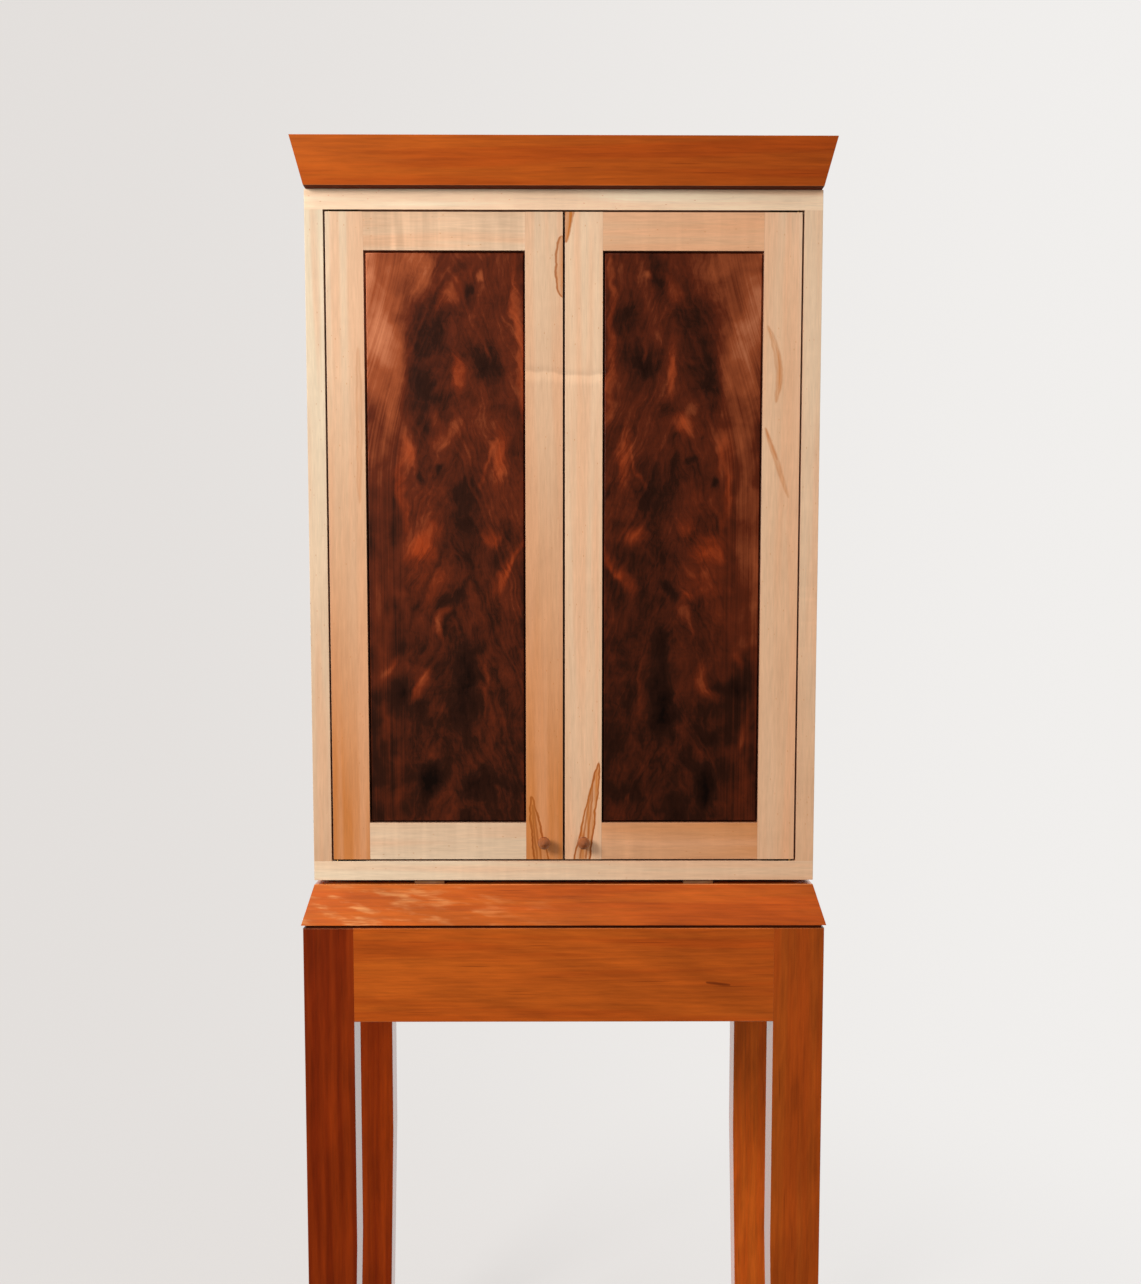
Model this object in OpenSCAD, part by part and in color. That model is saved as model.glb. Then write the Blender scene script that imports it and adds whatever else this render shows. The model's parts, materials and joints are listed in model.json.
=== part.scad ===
// Display cabinet on a stand.
// A maple case with two inset frame-and-panel doors floats on two thin runners
// above a cherry stand with sloped top edges, under a flared cherry crown.
// Millimetres, +Z up. The front faces -Y. The origin is on the floor, under the
// middle of the stand.

/* [Case] */
// Width of the case over its sides
case_w = 533.4; // [500:0.2:580]
// Depth of the case, front edge to rear edge
case_d = 365; // [330:1:400]
// Height of the case over its top and bottom boards
case_h = 718.5; // [640:0.5:800]
// Thickness of the case sides
side_t = 19; // [16:0.5:24]
// Thickness of the top and bottom boards
board_t = 20.5; // [18:0.5:26]
// Length and thickness of the tongue that joins each side to a board
case_tongue = 8; // [5:0.5:9]
// Distance that the tongue stops short of the front and rear edges
case_tongue_stop = 24; // [20:1:40]

/* [Stand] */
// Height of the stand, floor to the top of its sloped top
stand_h = 762; // [640:1:860]
// How far the legs stand outside the sides of the case
leg_out_side = 11.1; // [6:0.1:20]
// How far the legs stand in front of and behind the case
leg_out_front = 11.1; // [6:0.1:20]
// Leg width, left to right
leg_w = 53.5; // [46:0.5:60]
// Leg depth, front to back
leg_d = 46; // [44:0.5:58]
// Height at which the inner faces of the legs begin to taper
taper_h = 365; // [250:1:480]
// Leg width at the foot
foot_w = 45; // [36:0.5:48]
// Leg depth at the foot
foot_d = 38; // [30:0.5:44]
// Height of the aprons
apron_h = 102; // [75:1:130]
// Thickness of the aprons
apron_t = 20; // [18:0.5:24]
// Length of the apron tenons
tenon_l = 24; // [16:0.5:28]
// Thickness of the apron tenons
tenon_t = 8; // [6:0.5:10]
// Shoulder above and below each apron tenon
tenon_shoulder = 12; // [6:0.5:20]

/* [Stand top] */
// Height of the sloped stand top
stand_top_h = 42; // [36:0.5:50]
// Overhang of its lower edge beyond the legs
stand_top_lap = 1.8; // [0:0.1:5]
// How far its edge slopes in from bottom to top
stand_top_run = 13; // [6:0.5:16]
// Width of the mitred members of the stand top
stand_top_member = 85; // [78:1:100]
// Thickness of the panel in the stand top
stand_panel_t = 18; // [14:0.5:22]
// How far that panel lies below the top of the stand
stand_panel_drop = 1; // [0.5:0.5:4]
// Height of the dark spacer strips in the shadow gap
spacer_h = 3.5; // [2:0.5:8]
// How far the spacer strips are set in from the legs
spacer_inset = 3; // [1:0.5:5]
// Width of the spacer strips
spacer_w = 14; // [8:0.5:15]

/* [Runners] */
// Height of the runners that the case stands on
runner_h = 4.5; // [3:0.5:10]
// Width of each runner
runner_w = 31.5; // [20:0.5:40]
// Distance of the runners in from the sides of the case
runner_in = 106.9; // [90:0.1:150]
// How far the runners stop short of the front and rear of the case
runner_set = 3; // [0:0.5:12]

/* [Crown] */
// Height of the crown
crown_h = 46.5; // [36:0.5:55]
// How far the crown flares out from bottom to top
crown_run = 11.8; // [5:0.1:16]
// How far its lower edge stands inside the sides of the case
crown_side_in = 1.6; // [0:0.2:5]
// How far its lower edge stands in front of and behind the case
crown_lap = 14; // [8:0.5:20]
// Width of the mitred members of the crown
crown_member = 75; // [70:1:90]
// Thickness of the dust panel in the crown
crown_panel_t = 10; // [8:0.5:14]
// How far the dust panel lies below the top of the crown
crown_panel_drop = 3; // [1:0.5:8]

/* [Doors] */
// Thickness of the doors
door_t = 19; // [18:0.5:22]
// How far the doors are set back from the front of the case
door_set = 0.8; // [0.4:0.1:1.5]
// Gap between a door and the side of the case
door_side_gap = 1.8; // [1.7:0.1:2.4]
// Gap above and below the doors
door_end_gap = 1.8; // [1:0.1:2.6]
// Gap between the two doors
door_mid_gap = 2; // [1.6:0.1:3]
// Width of the door stiles
stile_w = 39.2; // [38:0.1:50]
// Height of the top rails
top_rail_w = 39; // [34:0.5:50]
// Height of the bottom rails
bottom_rail_w = 39.5; // [34:0.5:50]
// Depth of the groove that holds each panel
groove_d = 8; // [5:0.5:10]
// Thickness of the panel tongue and of the rail tenons
tongue_t = 6; // [4:0.5:7]
// Length of the rail tenons
rail_tenon_l = 24; // [14:1:30]
// Shoulder at the outer edge of the rail tenons
rail_shoulder = 8; // [5:0.5:12]
// Dark reveal between the frame and the raised field of a panel
panel_reveal = 2.3; // [1:0.1:4]
// How far the field lies behind the face of the frame
panel_set = 1.5; // [0.5:0.1:3]

/* [Knobs] */
// Diameter of the knob heads
knob_d = 13.4; // [11:0.2:18]
// How far the knobs stand out from the doors
knob_out = 22; // [18:0.5:28]
// Height of the dome above the widest line of the head
knob_dome_h = 4.2; // [3:0.1:6]
// Height of the head, which curls in below its widest line
knob_head_h = 6.7; // [6.2:0.1:9]
// Diameter of the knob neck
knob_neck_d = 6.6; // [5:0.2:8]
// Radius that the neck gains where it meets the door
knob_neck_flare = 1.1; // [0.4:0.1:2]
// Diameter of the spigot that holds a knob in its door
knob_spigot_d = 5.2; // [4:0.2:6]
// Distance of a knob from the middle of the front
knob_x = 21; // [14:0.5:30]
// Height of a knob above the lower edge of its door
knob_z = 19.5; // [14:0.5:60]

/* [Door hinges] */
// Radius of the pivot pins
pin_r = 1.5; // [1.2:0.05:1.7]
// Radial running clearance of the pins
pin_fit = 0.05; // [0.02:0.01:0.1]
// Distance of the pivots behind the face of the door
pivot_back = 3.6; // [3.5:0.05:3.8]
// Distance of the pivots in from the outer edge of the door
pivot_in = 3.8; // [3.6:0.05:3.9]
// Thickness of the hinge plates
plate_t = 2.4; // [2:0.1:3]
// Length of a hinge plate beyond its pivot
plate_l = 30; // [26:0.5:33]
// Radius of the hinge plate round its pivot
plate_end_r = 3; // [2.8:0.05:3.2]
// Width of a hinge plate
plate_w = 9; // [8:0.1:12]

/* [Inside] */
// Thickness of the shelves
shelf_t = 15; // [12:0.5:20]
// Height of the lower shelf above the bottom board
shelf_lower_z = 215; // [120:1:260]
// Height of the upper shelf above the bottom board
shelf_upper_z = 440; // [340:1:520]
// Distance of the shelf fronts behind the front of the case
shelf_front = 34; // [34:1:80]
// Radius of the shelf pins
shelf_pin_r = 2.5; // [2:0.25:3.5]
// Length of a shelf pin outside its hole
shelf_pin_out = 9; // [6:0.5:12]
// Length of a shelf pin inside its hole
shelf_pin_in = 10; // [6:0.5:12]
// Distance of the shelf pins from the front and rear of a shelf
shelf_pin_set = 40; // [20:1:80]
// Thickness of the back frame
back_t = 14; // [12:0.5:18]
// Width of the back stiles and rails
back_frame_w = 52; // [40:1:70]
// How far the back laps over the case in its rabbet
back_lap = 8; // [5:0.5:10]
// Length of the upper door stop
stop_top_l = 160; // [120:1:240]
// Length of the lower door stop
stop_bottom_l = 90; // [60:1:160]
// Height of the upper door stop
stop_top_h = 14; // [12:0.5:18]
// Height of the lower door stop
stop_bottom_h = 8; // [5:0.5:12]
// Depth of the door stops
stop_d = 12; // [8:0.5:12]
// Radius of the catch magnets and their strikes
magnet_r = 4; // [3:0.25:4.5]
// Thickness of the catch magnets
magnet_t = 3; // [2:0.25:5]
// Thickness of the strikes in the doors
strike_t = 1.5; // [1:0.1:2.5]

/* [Fastening] */
// Length of a top button along its apron
button_l = 32; // [24:1:45]
// Reach of a top button under the stand top
button_reach = 28; // [22:0.5:36]
// Height of a top button
button_h = 18; // [15:0.5:22]
// Thickness of the button tongue
button_tongue_t = 5; // [4:0.5:7]
// Depth of the button tongue in the apron groove
button_tongue_l = 7; // [4:0.5:9]
// Distance of the front and rear buttons from the middle
button_x = 110; // [60:1:140]
// Distance of the crown screws from the middle
crown_screw_x = 150; // [110:1:190]

/* [Hidden] */
$fn = 48;

// Clearances
joint_gap = 0.15; // round a tongue, tenon or plate in its recess
end_gap = 1; // past the end of a tongue or tenon
seat_gap = 0.3; // between a moving piece and its stop
fit_gap = 0.05; // radial, round a screw or pin in its hole
cut = 2; // overshoot of a cut past the face that it opens
merge = 0.1; // overlap of two shapes that are one solid
skim = 0.01; // overlap of a cut with the cut that it leads into

// Stand, from the case outwards
stand_w = case_w + 2 * leg_out_side;
stand_d = case_d + 2 * leg_out_front;
leg_h = stand_h - stand_top_h - spacer_h;
stand_top_z = leg_h + spacer_h;
stand_low = [stand_w / 2 + stand_top_lap, stand_d / 2 + stand_top_lap];
stand_high = [stand_low[0] - stand_top_run, stand_low[1] - stand_top_run];
stand_hole = [stand_low[0] - stand_top_member, stand_low[1] - stand_top_member];

// Case
case_z = stand_h + runner_h;
case_top_z = case_z + case_h;
open_w = case_w - 2 * side_t;
open_z = case_z + board_t;
open_h = case_h - 2 * board_t;
open_top_z = open_z + open_h;
case_front = -case_d / 2;
back_y = case_d / 2 - back_t;

// Crown
crown_low = [case_w / 2 - crown_side_in, case_d / 2 + crown_lap];
crown_high = [crown_low[0] + crown_run, crown_low[1] + crown_run];
crown_hole = [crown_high[0] - crown_member, crown_high[1] - crown_member];

// Doors
door_w = (open_w - 2 * door_side_gap - door_mid_gap) / 2;
door_h = open_h - 2 * door_end_gap;
door_x = -open_w / 2 + door_side_gap;
door_y = case_front + door_set;
door_z = open_z + door_end_gap;
door_back = door_y + door_t;
pivot = [door_x + pivot_in, door_y + pivot_back];

// Frame-and-panel sets: width, height, thickness, stile, top rail, bottom rail
door_set_size = [door_w, door_h, door_t, stile_w, top_rail_w, bottom_rail_w];
back_set_size = [
    open_w + 2 * (back_lap - joint_gap), open_h + 2 * (back_lap - joint_gap),
    back_t, back_frame_w, back_frame_w, back_frame_w
];

// Screws: head radius, head height, shank radius, shank length
hinge_screw = [2.6, 1.4, 1.2, 11];
button_screw = [4, 2.5, 2, 32];
case_screw = [5, 3, 2.5, 46];
crown_screw = [4.5, 2.8, 2.25, 40];
hinge_screw_steps = [11, 23]; // along a hinge plate from its pivot

// Panels of the stand top and the crown, and the grooves that hold them
panel_tongue_l = 8;
panel_tongue_t = 6;
stand_panel_z = stand_h - stand_panel_drop - stand_panel_t;
crown_panel_z = case_top_z + crown_h - crown_panel_drop - crown_panel_t;

// Grooves in the aprons for the top buttons
button_groove_d = button_tongue_l + end_gap;
button_groove_z = apron_h + spacer_h - button_h; // above the foot of the apron
button_groove_stop = 13; // from the shoulders of the apron

// Case screws lie over the runners, inside the stand top members
runner_x = case_w / 2 - runner_in;
case_screw_x = runner_x - runner_w / 2;
case_screw_y = (stand_hole[1] + case_d / 2) / 2;
case_screw_bore = 14; // depth of the counterbore under the stand top
crown_screw_y = (crown_hole[1] + case_d / 2 - door_t) / 2;

// Knobs
knob_spigot_l = (door_t - tongue_t) / 2 - 0.5; // stops short of the panel groove
knob_neck_swell = 0.6; // radius that the neck gains at the head
knob_under = 35; // degrees that the head curls in below its widest line
neck_steps = 10;
head_steps = 14;

cherry = "#b0602c";
cherry_dark = "#8a3d16";
maple = "#e3bf98";
crotch_walnut = "#5f2b18";
dark_walnut = "#4a2a1c";
brass = "#b8924a";
steel = "#9a9a98";

// A bar from its low corner to its high corner
module bar(low, high) {
    translate(low) cube(high - low);
}

// Its children as they are on the left, or their mirror image on the right
module mirrored(on) {
    mirror([on ? 1 : 0, 0, 0]) children();
}

// Its children as a front-to-back mirror image
module turned_back(on) {
    mirror([0, on ? 1 : 0, 0]) children();
}

// A wood screw with its head at z = 0 and below, and its shank above.
// fit widens it into its own hole.
module screw(size, fit = 0) {
    translate([0, 0, -size[1] - (fit > 0 ? cut : 0)])
        cylinder(r = size[0] + fit, h = size[1] + (fit > 0 ? cut : 0));
    translate([0, 0, -merge]) cylinder(r = size[2] + fit, h = size[3] + merge + fit);
}

// A countersunk screw: its head is flush with z = 0 and it points up
module flat_screw(size, fit = 0) {
    cylinder(r1 = size[0] + fit, r2 = size[2] + fit, h = size[1]);
    translate([0, 0, size[1] - merge])
        cylinder(r = size[2] + fit, h = size[3] - size[1] + merge + fit);
    if (fit > 0) translate([0, 0, -cut]) cylinder(r = size[0] + fit, h = cut + skim);
}

// Stand legs

// Outline of a leg from one side: straight outside, tapered inside below taper_h
function leg_outline(top, foot) =
    [[0, 0], [foot, 0], [top, taper_h], [top, leg_h], [0, leg_h]];

// Front left leg with its outer corner at the origin
module leg_blank() {
    intersection() {
        translate([0, leg_d, 0]) rotate([90, 0, 0]) linear_extrude(leg_d)
            polygon(leg_outline(leg_w, foot_w));
        rotate([90, 0, 90]) linear_extrude(leg_w) polygon(leg_outline(leg_d, foot_d));
    }
}

// The hole for an apron tenon that enters along +X, at the outer face y = 0
module tenon_mortise() {
    low = leg_h - apron_h + tenon_shoulder - joint_gap;
    bar([-tenon_l - end_gap, (apron_t - tenon_t) / 2 - joint_gap, low],
        [cut, (apron_t + tenon_t) / 2 + joint_gap, leg_h - tenon_shoulder + joint_gap]);
}

module leg(right, rear) {
    color(right ? cherry : cherry_dark)
    mirrored(right) turned_back(rear) translate([-stand_w / 2, -stand_d / 2, 0])
    difference() {
        leg_blank();
        translate([leg_w, 0, 0]) tenon_mortise();
        translate([0, leg_d, 0]) mirror([1, -1, 0]) tenon_mortise();
    }
}

// Aprons

// An apron along X with its outer face at y = 0 and its foot at z = 0
module apron(length) {
    low = tenon_shoulder;
    high = apron_h - tenon_shoulder;
    groove_end = length / 2 - button_groove_stop;
    difference() {
        union() {
            bar([-length / 2, 0, 0], [length / 2, apron_t, apron_h]);
            bar([-length / 2 - tenon_l, (apron_t - tenon_t) / 2, low],
                [length / 2 + tenon_l, (apron_t + tenon_t) / 2, high]);
        }
        bar([-groove_end, apron_t - button_groove_d, button_groove_z - joint_gap],
            [groove_end, apron_t + cut, button_groove_z + button_tongue_t + joint_gap]);
    }
}

module long_apron(back) {
    color(cherry) turned_back(back)
    translate([0, -stand_d / 2, leg_h - apron_h]) apron(stand_w - 2 * leg_w);
}

module side_apron(right) {
    color(cherry_dark) mirrored(right)
    translate([-stand_w / 2, 0, leg_h - apron_h]) rotate(-90) apron(stand_d - 2 * leg_d);
}

// Four strips on the legs and aprons that hold the stand top clear of them
module top_spacer_strips() {
    x = stand_w / 2 - spacer_inset;
    y = stand_d / 2 - spacer_inset;
    color(dark_walnut) {
        for (back = [false, true]) turned_back(back)
            bar([-x, -y, leg_h], [x, -y + spacer_w, stand_top_z]);
        for (right = [false, true]) mirrored(right)
            bar([-x, -y + spacer_w + joint_gap, leg_h],
                [-x + spacer_w, y - spacer_w - joint_gap, stand_top_z]);
    }
}

// Mitred frames with sloped outer faces

// The front member of a mitred frame. low and high are half the width and depth of
// its outer edge at the bottom and the top, and hole is half its inner opening.
module sloped_front(low, high, hole, height) {
    out = [max(low[0], high[0]), max(low[1], high[1])];
    intersection() {
        translate([-out[0], 0, 0]) rotate([90, 0, 90]) linear_extrude(2 * out[0])
            polygon([[-low[1], 0], [-hole[1], 0], [-hole[1], height], [-high[1], height]]);
        linear_extrude(height) polygon([
            [-out[0], -out[1]], [out[0], -out[1]],
            [hole[0], -hole[1]], [-hole[0], -hole[1]]
        ]);
    }
}

// The left member of the same frame
module sloped_left(low, high, hole, height) {
    out = [max(low[0], high[0]), max(low[1], high[1])];
    intersection() {
        translate([0, out[1], 0]) rotate([90, 0, 0]) linear_extrude(2 * out[1])
            polygon([[-low[0], 0], [-hole[0], 0], [-hole[0], height], [-high[0], height]]);
        linear_extrude(height) polygon([
            [-out[0], -out[1]], [-hole[0], -hole[1]],
            [-hole[0], hole[1]], [-out[0], out[1]]
        ]);
    }
}

// The groove round the opening of a frame, or the tongue of the panel in it
module ring_tongue(hole, z, thickness, reach, gap) {
    bar([-hole[0] - reach, -hole[1] - reach, z - gap],
        [hole[0] + reach, hole[1] + reach, z + thickness + gap]);
}

// A panel that fills the opening of a frame and reaches into its groove
module ring_panel(hole, z, thickness) {
    tongue_z = z + (thickness - panel_tongue_t) / 2;
    bar([-hole[0] + seat_gap, -hole[1] + seat_gap, z],
        [hole[0] - seat_gap, hole[1] - seat_gap, z + thickness]);
    ring_tongue(hole, tongue_z, panel_tongue_t, panel_tongue_l, 0);
}

// What is cut from the stand top members: the panel groove and the screw holes
module stand_top_cuts() {
    ring_tongue(stand_hole, stand_panel_z + (stand_panel_t - panel_tongue_t) / 2,
        panel_tongue_t, panel_tongue_l + end_gap, joint_gap);
    case_screw_places() {
        translate([0, 0, stand_top_z - cut])
            cylinder(r = case_screw[0] + end_gap, h = case_screw_bore + cut);
        cylinder(r = case_screw[2] + fit_gap, h = stand_h + cut);
    }
    button_places() screw(button_screw, fit_gap);
}

module stand_top_long(back) {
    color(cherry) difference() {
        turned_back(back) translate([0, 0, stand_top_z])
            sloped_front(stand_low, stand_high, stand_hole, stand_top_h);
        stand_top_cuts();
    }
}

module stand_top_side(right) {
    color(cherry) difference() {
        mirrored(right) translate([0, 0, stand_top_z])
            sloped_left(stand_low, stand_high, stand_hole, stand_top_h);
        stand_top_cuts();
    }
}

module stand_top_panel() {
    color(cherry) ring_panel(stand_hole, stand_panel_z, stand_panel_t);
}

// Buttons that hold the stand top to the aprons

// Its children at each button screw: two at the front, two at the rear, one a side.
// There +Y points from the apron to the middle of the stand.
module button_places() {
    screw_in = apron_t + button_reach / 2;
    z = stand_top_z - button_h;
    for (back = [false, true], x = [-button_x, button_x]) turned_back(back)
        translate([x, -stand_d / 2 + screw_in, z]) children();
    for (right = [false, true]) mirrored(right)
        translate([-stand_w / 2 + screw_in, 0, z]) rotate(-90) children();
}

module top_buttons() {
    near = -button_reach / 2;
    color(cherry_dark) button_places() difference() {
        union() {
            bar([-button_l / 2, near, 0], [button_l / 2, button_reach / 2, button_h]);
            bar([-button_l / 2, near - button_tongue_l, 0], [button_l / 2, near, button_tongue_t]);
        }
        screw(button_screw, fit_gap);
    }
}

module button_screws() {
    color(steel) button_places() screw(button_screw);
}

// Runners and the screws that hold the case

module runner(right) {
    end = case_d / 2 - runner_set;
    color(maple) mirrored(right) difference() {
        bar([-runner_x, -end, stand_h], [-runner_x + runner_w, end, case_z]);
        case_screw_places() cylinder(r = case_screw[2] + fit_gap, h = case_z + cut);
    }
}

module case_screw_places() {
    for (x = [-case_screw_x, case_screw_x], y = [-case_screw_y, case_screw_y])
        translate([x, y, 0]) children();
}

module case_fixing_screws() {
    color(steel) case_screw_places()
        translate([0, 0, stand_top_z + case_screw_bore]) screw(case_screw);
}

// Case

// The recess that the back fits in, all round the rear of the case
module back_recess() {
    bar([-open_w / 2 - back_lap, back_y, open_z - back_lap],
        [open_w / 2 + back_lap, case_d / 2 + cut, open_top_z + back_lap]);
}

// The tongues at both ends of the left side, or their grooves
module side_tongues(gap, past) {
    x = -case_w / 2 + side_t / 2;
    y = case_d / 2 - case_tongue_stop;
    bar([x - case_tongue / 2 - gap, -y - gap, open_z - case_tongue - past],
        [x + case_tongue / 2 + gap, y + gap, open_top_z + case_tongue + past]);
}

// Its children at each shelf pin on the left side, where the pin runs along +X
module shelf_pin_places() {
    front = case_front + shelf_front + shelf_pin_set;
    rear = back_y - end_gap - shelf_pin_set;
    for (height = [shelf_lower_z, shelf_upper_z], y = [front, rear])
        translate([-open_w / 2, y, open_z + height - shelf_pin_r - 2 * fit_gap])
            rotate([0, 90, 0]) children();
}

module case_side(right) {
    color(maple) mirrored(right) difference() {
        union() {
            bar([-case_w / 2, case_front, open_z], [-open_w / 2, case_d / 2, open_top_z]);
            side_tongues(0, 0);
        }
        back_recess();
        shelf_pin_places() translate([0, 0, -shelf_pin_in - end_gap])
            cylinder(r = shelf_pin_r + fit_gap, h = shelf_pin_in + end_gap + cut);
    }
}

module case_top() {
    color(maple) difference() {
        bar([-case_w / 2, case_front, open_top_z], [case_w / 2, case_d / 2, case_top_z]);
        for (right = [false, true]) mirrored(right) {
            side_tongues(joint_gap, end_gap);
            plate_places(false) hinge_plate_recess();
        }
        back_recess();
        crown_screw_places() screw(crown_screw, fit_gap);
    }
}

module case_bottom() {
    color(maple) difference() {
        bar([-case_w / 2, case_front, case_z], [case_w / 2, case_d / 2, open_z]);
        for (right = [false, true]) mirrored(right) {
            side_tongues(joint_gap, end_gap);
            plate_places(false) hinge_plate_recess();
        }
        back_recess();
        case_screw_places()
            translate([0, 0, stand_top_z + case_screw_bore]) screw(case_screw, fit_gap);
    }
}

// Frame-and-panel parts, shared by the doors and the back.
// The frame stands on z = 0 with its left edge at x = 0 and its face at y = 0.

function groove_y(s) = (s[2] - tongue_t) / 2;

// Height range of a rail tenon: a shoulder outside, the groove inside
function top_tenon(s) = [s[1] - s[4] + groove_d, s[1] - rail_shoulder];
function bottom_tenon(s) = [rail_shoulder, s[5] - groove_d];

// The left stile, grooved for the panel and mortised for both rails
module frame_stile(s) {
    y = groove_y(s);
    difference() {
        bar([0, 0, 0], [s[3], s[2], s[1]]);
        bar([s[3] - groove_d, y - joint_gap, s[5] - groove_d],
            [s[3] + cut, y + tongue_t + joint_gap, s[1] - s[4] + groove_d]);
        for (z = [top_tenon(s), bottom_tenon(s)])
            bar([s[3] - rail_tenon_l - end_gap, y - joint_gap, z[0] - joint_gap],
                [s[3] + cut, y + tongue_t + joint_gap, z[1] + joint_gap]);
    }
}

// A rail between z = low and z = high with its tenons and its panel groove
module frame_rail(s, low, high, tenon, groove) {
    y = groove_y(s);
    difference() {
        union() {
            bar([s[3], 0, low], [s[0] - s[3], s[2], high]);
            bar([s[3] - rail_tenon_l, y, tenon[0]],
                [s[0] - s[3] + rail_tenon_l, y + tongue_t, tenon[1]]);
        }
        bar([s[3] - cut, y - joint_gap, groove[0]],
            [s[0] - s[3] + cut, y + tongue_t + joint_gap, groove[1]]);
    }
}

module frame_top_rail(s) {
    low = s[1] - s[4];
    frame_rail(s, low, s[1], top_tenon(s), [low - cut, low + groove_d]);
}

module frame_bottom_rail(s) {
    frame_rail(s, 0, s[5], bottom_tenon(s), [s[5] - groove_d, s[5] + cut]);
}

// A panel with a raised field and a tongue all round, resting in the lower groove
module frame_panel(s) {
    y = groove_y(s);
    reach = groove_d - end_gap;
    bar([s[3] + panel_reveal, panel_set, s[5] + panel_reveal],
        [s[0] - s[3] - panel_reveal, y + tongue_t, s[1] - s[4] - panel_reveal]);
    bar([s[3] - reach, y, s[5] - groove_d],
        [s[0] - s[3] + reach, y + tongue_t, s[1] - s[4] + reach]);
}

// Back

// Its children in the place of the back, which fills its recess
module in_back() {
    color(maple)
    translate([-back_set_size[0] / 2, back_y, open_z - back_lap + joint_gap]) children();
}

module back_stile(right) {
    mirrored(right) in_back() frame_stile(back_set_size);
}

// Shelves and pins

module shelf(height) {
    color(maple)
    bar([-open_w / 2 + seat_gap, case_front + shelf_front, open_z + height],
        [open_w / 2 - seat_gap, back_y - end_gap, open_z + height + shelf_t]);
}

module shelf_pins() {
    length = shelf_pin_in + shelf_pin_out;
    color(brass) for (right = [false, true]) mirrored(right) shelf_pin_places()
        translate([0, 0, -shelf_pin_in]) cylinder(r = shelf_pin_r, h = length);
}

// Door stops and catches

// Its children at each catch: +Z points out of the stop, towards the door
module catch_places() {
    x = door_mid_gap / 2 + stile_w / 2;
    for (right = [false, true]) mirrored(right)
        translate([-x, door_back + seat_gap, open_top_z - stop_top_h / 2])
            rotate([90, 0, 0]) children();
}

module door_stop_top() {
    y = door_back + seat_gap;
    color(maple) difference() {
        bar([-stop_top_l / 2, y, open_top_z - stop_top_h], [stop_top_l / 2, y + stop_d, open_top_z]);
        catch_places() translate([0, 0, -magnet_t])
            cylinder(r = magnet_r + fit_gap, h = magnet_t + cut);
    }
}

module door_stop_bottom() {
    y = door_back + seat_gap;
    color(maple)
    bar([-stop_bottom_l / 2, y, open_z], [stop_bottom_l / 2, y + stop_d, open_z + stop_bottom_h]);
}

module stop_magnets() {
    color(steel) catch_places() translate([0, 0, -magnet_t]) cylinder(r = magnet_r, h = magnet_t);
}

// Hinge plates: pivots above and below each door

// Its children at the top and bottom pivots of the left door. +Z points from the
// door into the case, and z = 0 is the end of the door, or the case with door off.
module plate_places(door) {
    step = door ? 0 : door_end_gap;
    translate([pivot[0], pivot[1], door_z + door_h + step]) children();
    translate([pivot[0], pivot[1], door_z - step]) mirror([0, 0, 1]) children();
}

module hinge_plate_outline(gap) {
    circle(r = plate_end_r + gap);
    translate([0, -plate_end_r - gap]) square([plate_l + gap, plate_w + 2 * gap]);
}

// Its children at each screw of a hinge plate, on the middle of its width
module hinge_screw_places() {
    for (x = hinge_screw_steps) translate([x, plate_w / 2 - plate_end_r, 0]) children();
}

// The recess in the wood for a plate that lies above z = 0, with its screw holes
module hinge_plate_recess() {
    translate([0, 0, -cut]) linear_extrude(plate_t + cut) hinge_plate_outline(joint_gap);
    hinge_screw_places() flat_screw(hinge_screw, fit_gap);
}

// The plate in the case, with the pin that stands down into the door
module case_plate() {
    difference() {
        linear_extrude(plate_t) hinge_plate_outline(0);
        hinge_screw_places() flat_screw(hinge_screw, fit_gap);
    }
    pin_l = door_end_gap + plate_t - joint_gap;
    translate([0, 0, -pin_l]) cylinder(r = pin_r, h = pin_l + plate_t / 2);
}

// The plate in the end of the door, bored for the pin
module door_plate() {
    mirror([0, 0, 1]) difference() {
        linear_extrude(plate_t) hinge_plate_outline(0);
        translate([0, 0, -cut]) cylinder(r = pin_r + pin_fit, h = plate_t + 2 * cut);
        hinge_screw_places() flat_screw(hinge_screw, fit_gap);
    }
}

module case_hinge_plates() {
    color(brass) for (right = [false, true]) mirrored(right) plate_places(false) case_plate();
}

module case_hinge_screws() {
    color(brass) for (right = [false, true]) mirrored(right)
        plate_places(false) hinge_screw_places() flat_screw(hinge_screw);
}

module door_hinge_plates(right) {
    color(brass) mirrored(right) plate_places(true) door_plate();
}

module door_hinge_screws(right) {
    color(brass) mirrored(right)
        plate_places(true) mirror([0, 0, 1]) hinge_screw_places() flat_screw(hinge_screw);
}

// Doors

// Its children in the place of the left door, or mirrored in that of the right door
module in_door(right) {
    mirrored(right) translate([door_x, door_y, door_z]) children();
}

module door_hinge_stile(right) {
    color(maple) difference() {
        in_door(right) frame_stile(door_set_size);
        mirrored(right) plate_places(true) mirror([0, 0, 1]) hinge_plate_recess();
    }
}

module door_lock_stile(right) {
    color(maple) mirrored(right) difference() {
        translate([door_x + door_w, door_y, door_z]) mirror([1, 0, 0]) frame_stile(door_set_size);
        knob_place() translate([0, 0, -knob_spigot_l - fit_gap])
            cylinder(d = knob_spigot_d + 2 * fit_gap, h = knob_spigot_l + cut);
        strike_place() translate([0, 0, -strike_t])
            cylinder(r = magnet_r + fit_gap, h = strike_t + cut);
    }
}

module door_top_rail(right) {
    color(maple) in_door(right) frame_top_rail(door_set_size);
}

module door_bottom_rail(right) {
    color(maple) in_door(right) frame_bottom_rail(door_set_size);
}

module door_panel(right) {
    color(crotch_walnut) in_door(right) frame_panel(door_set_size);
}

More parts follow.
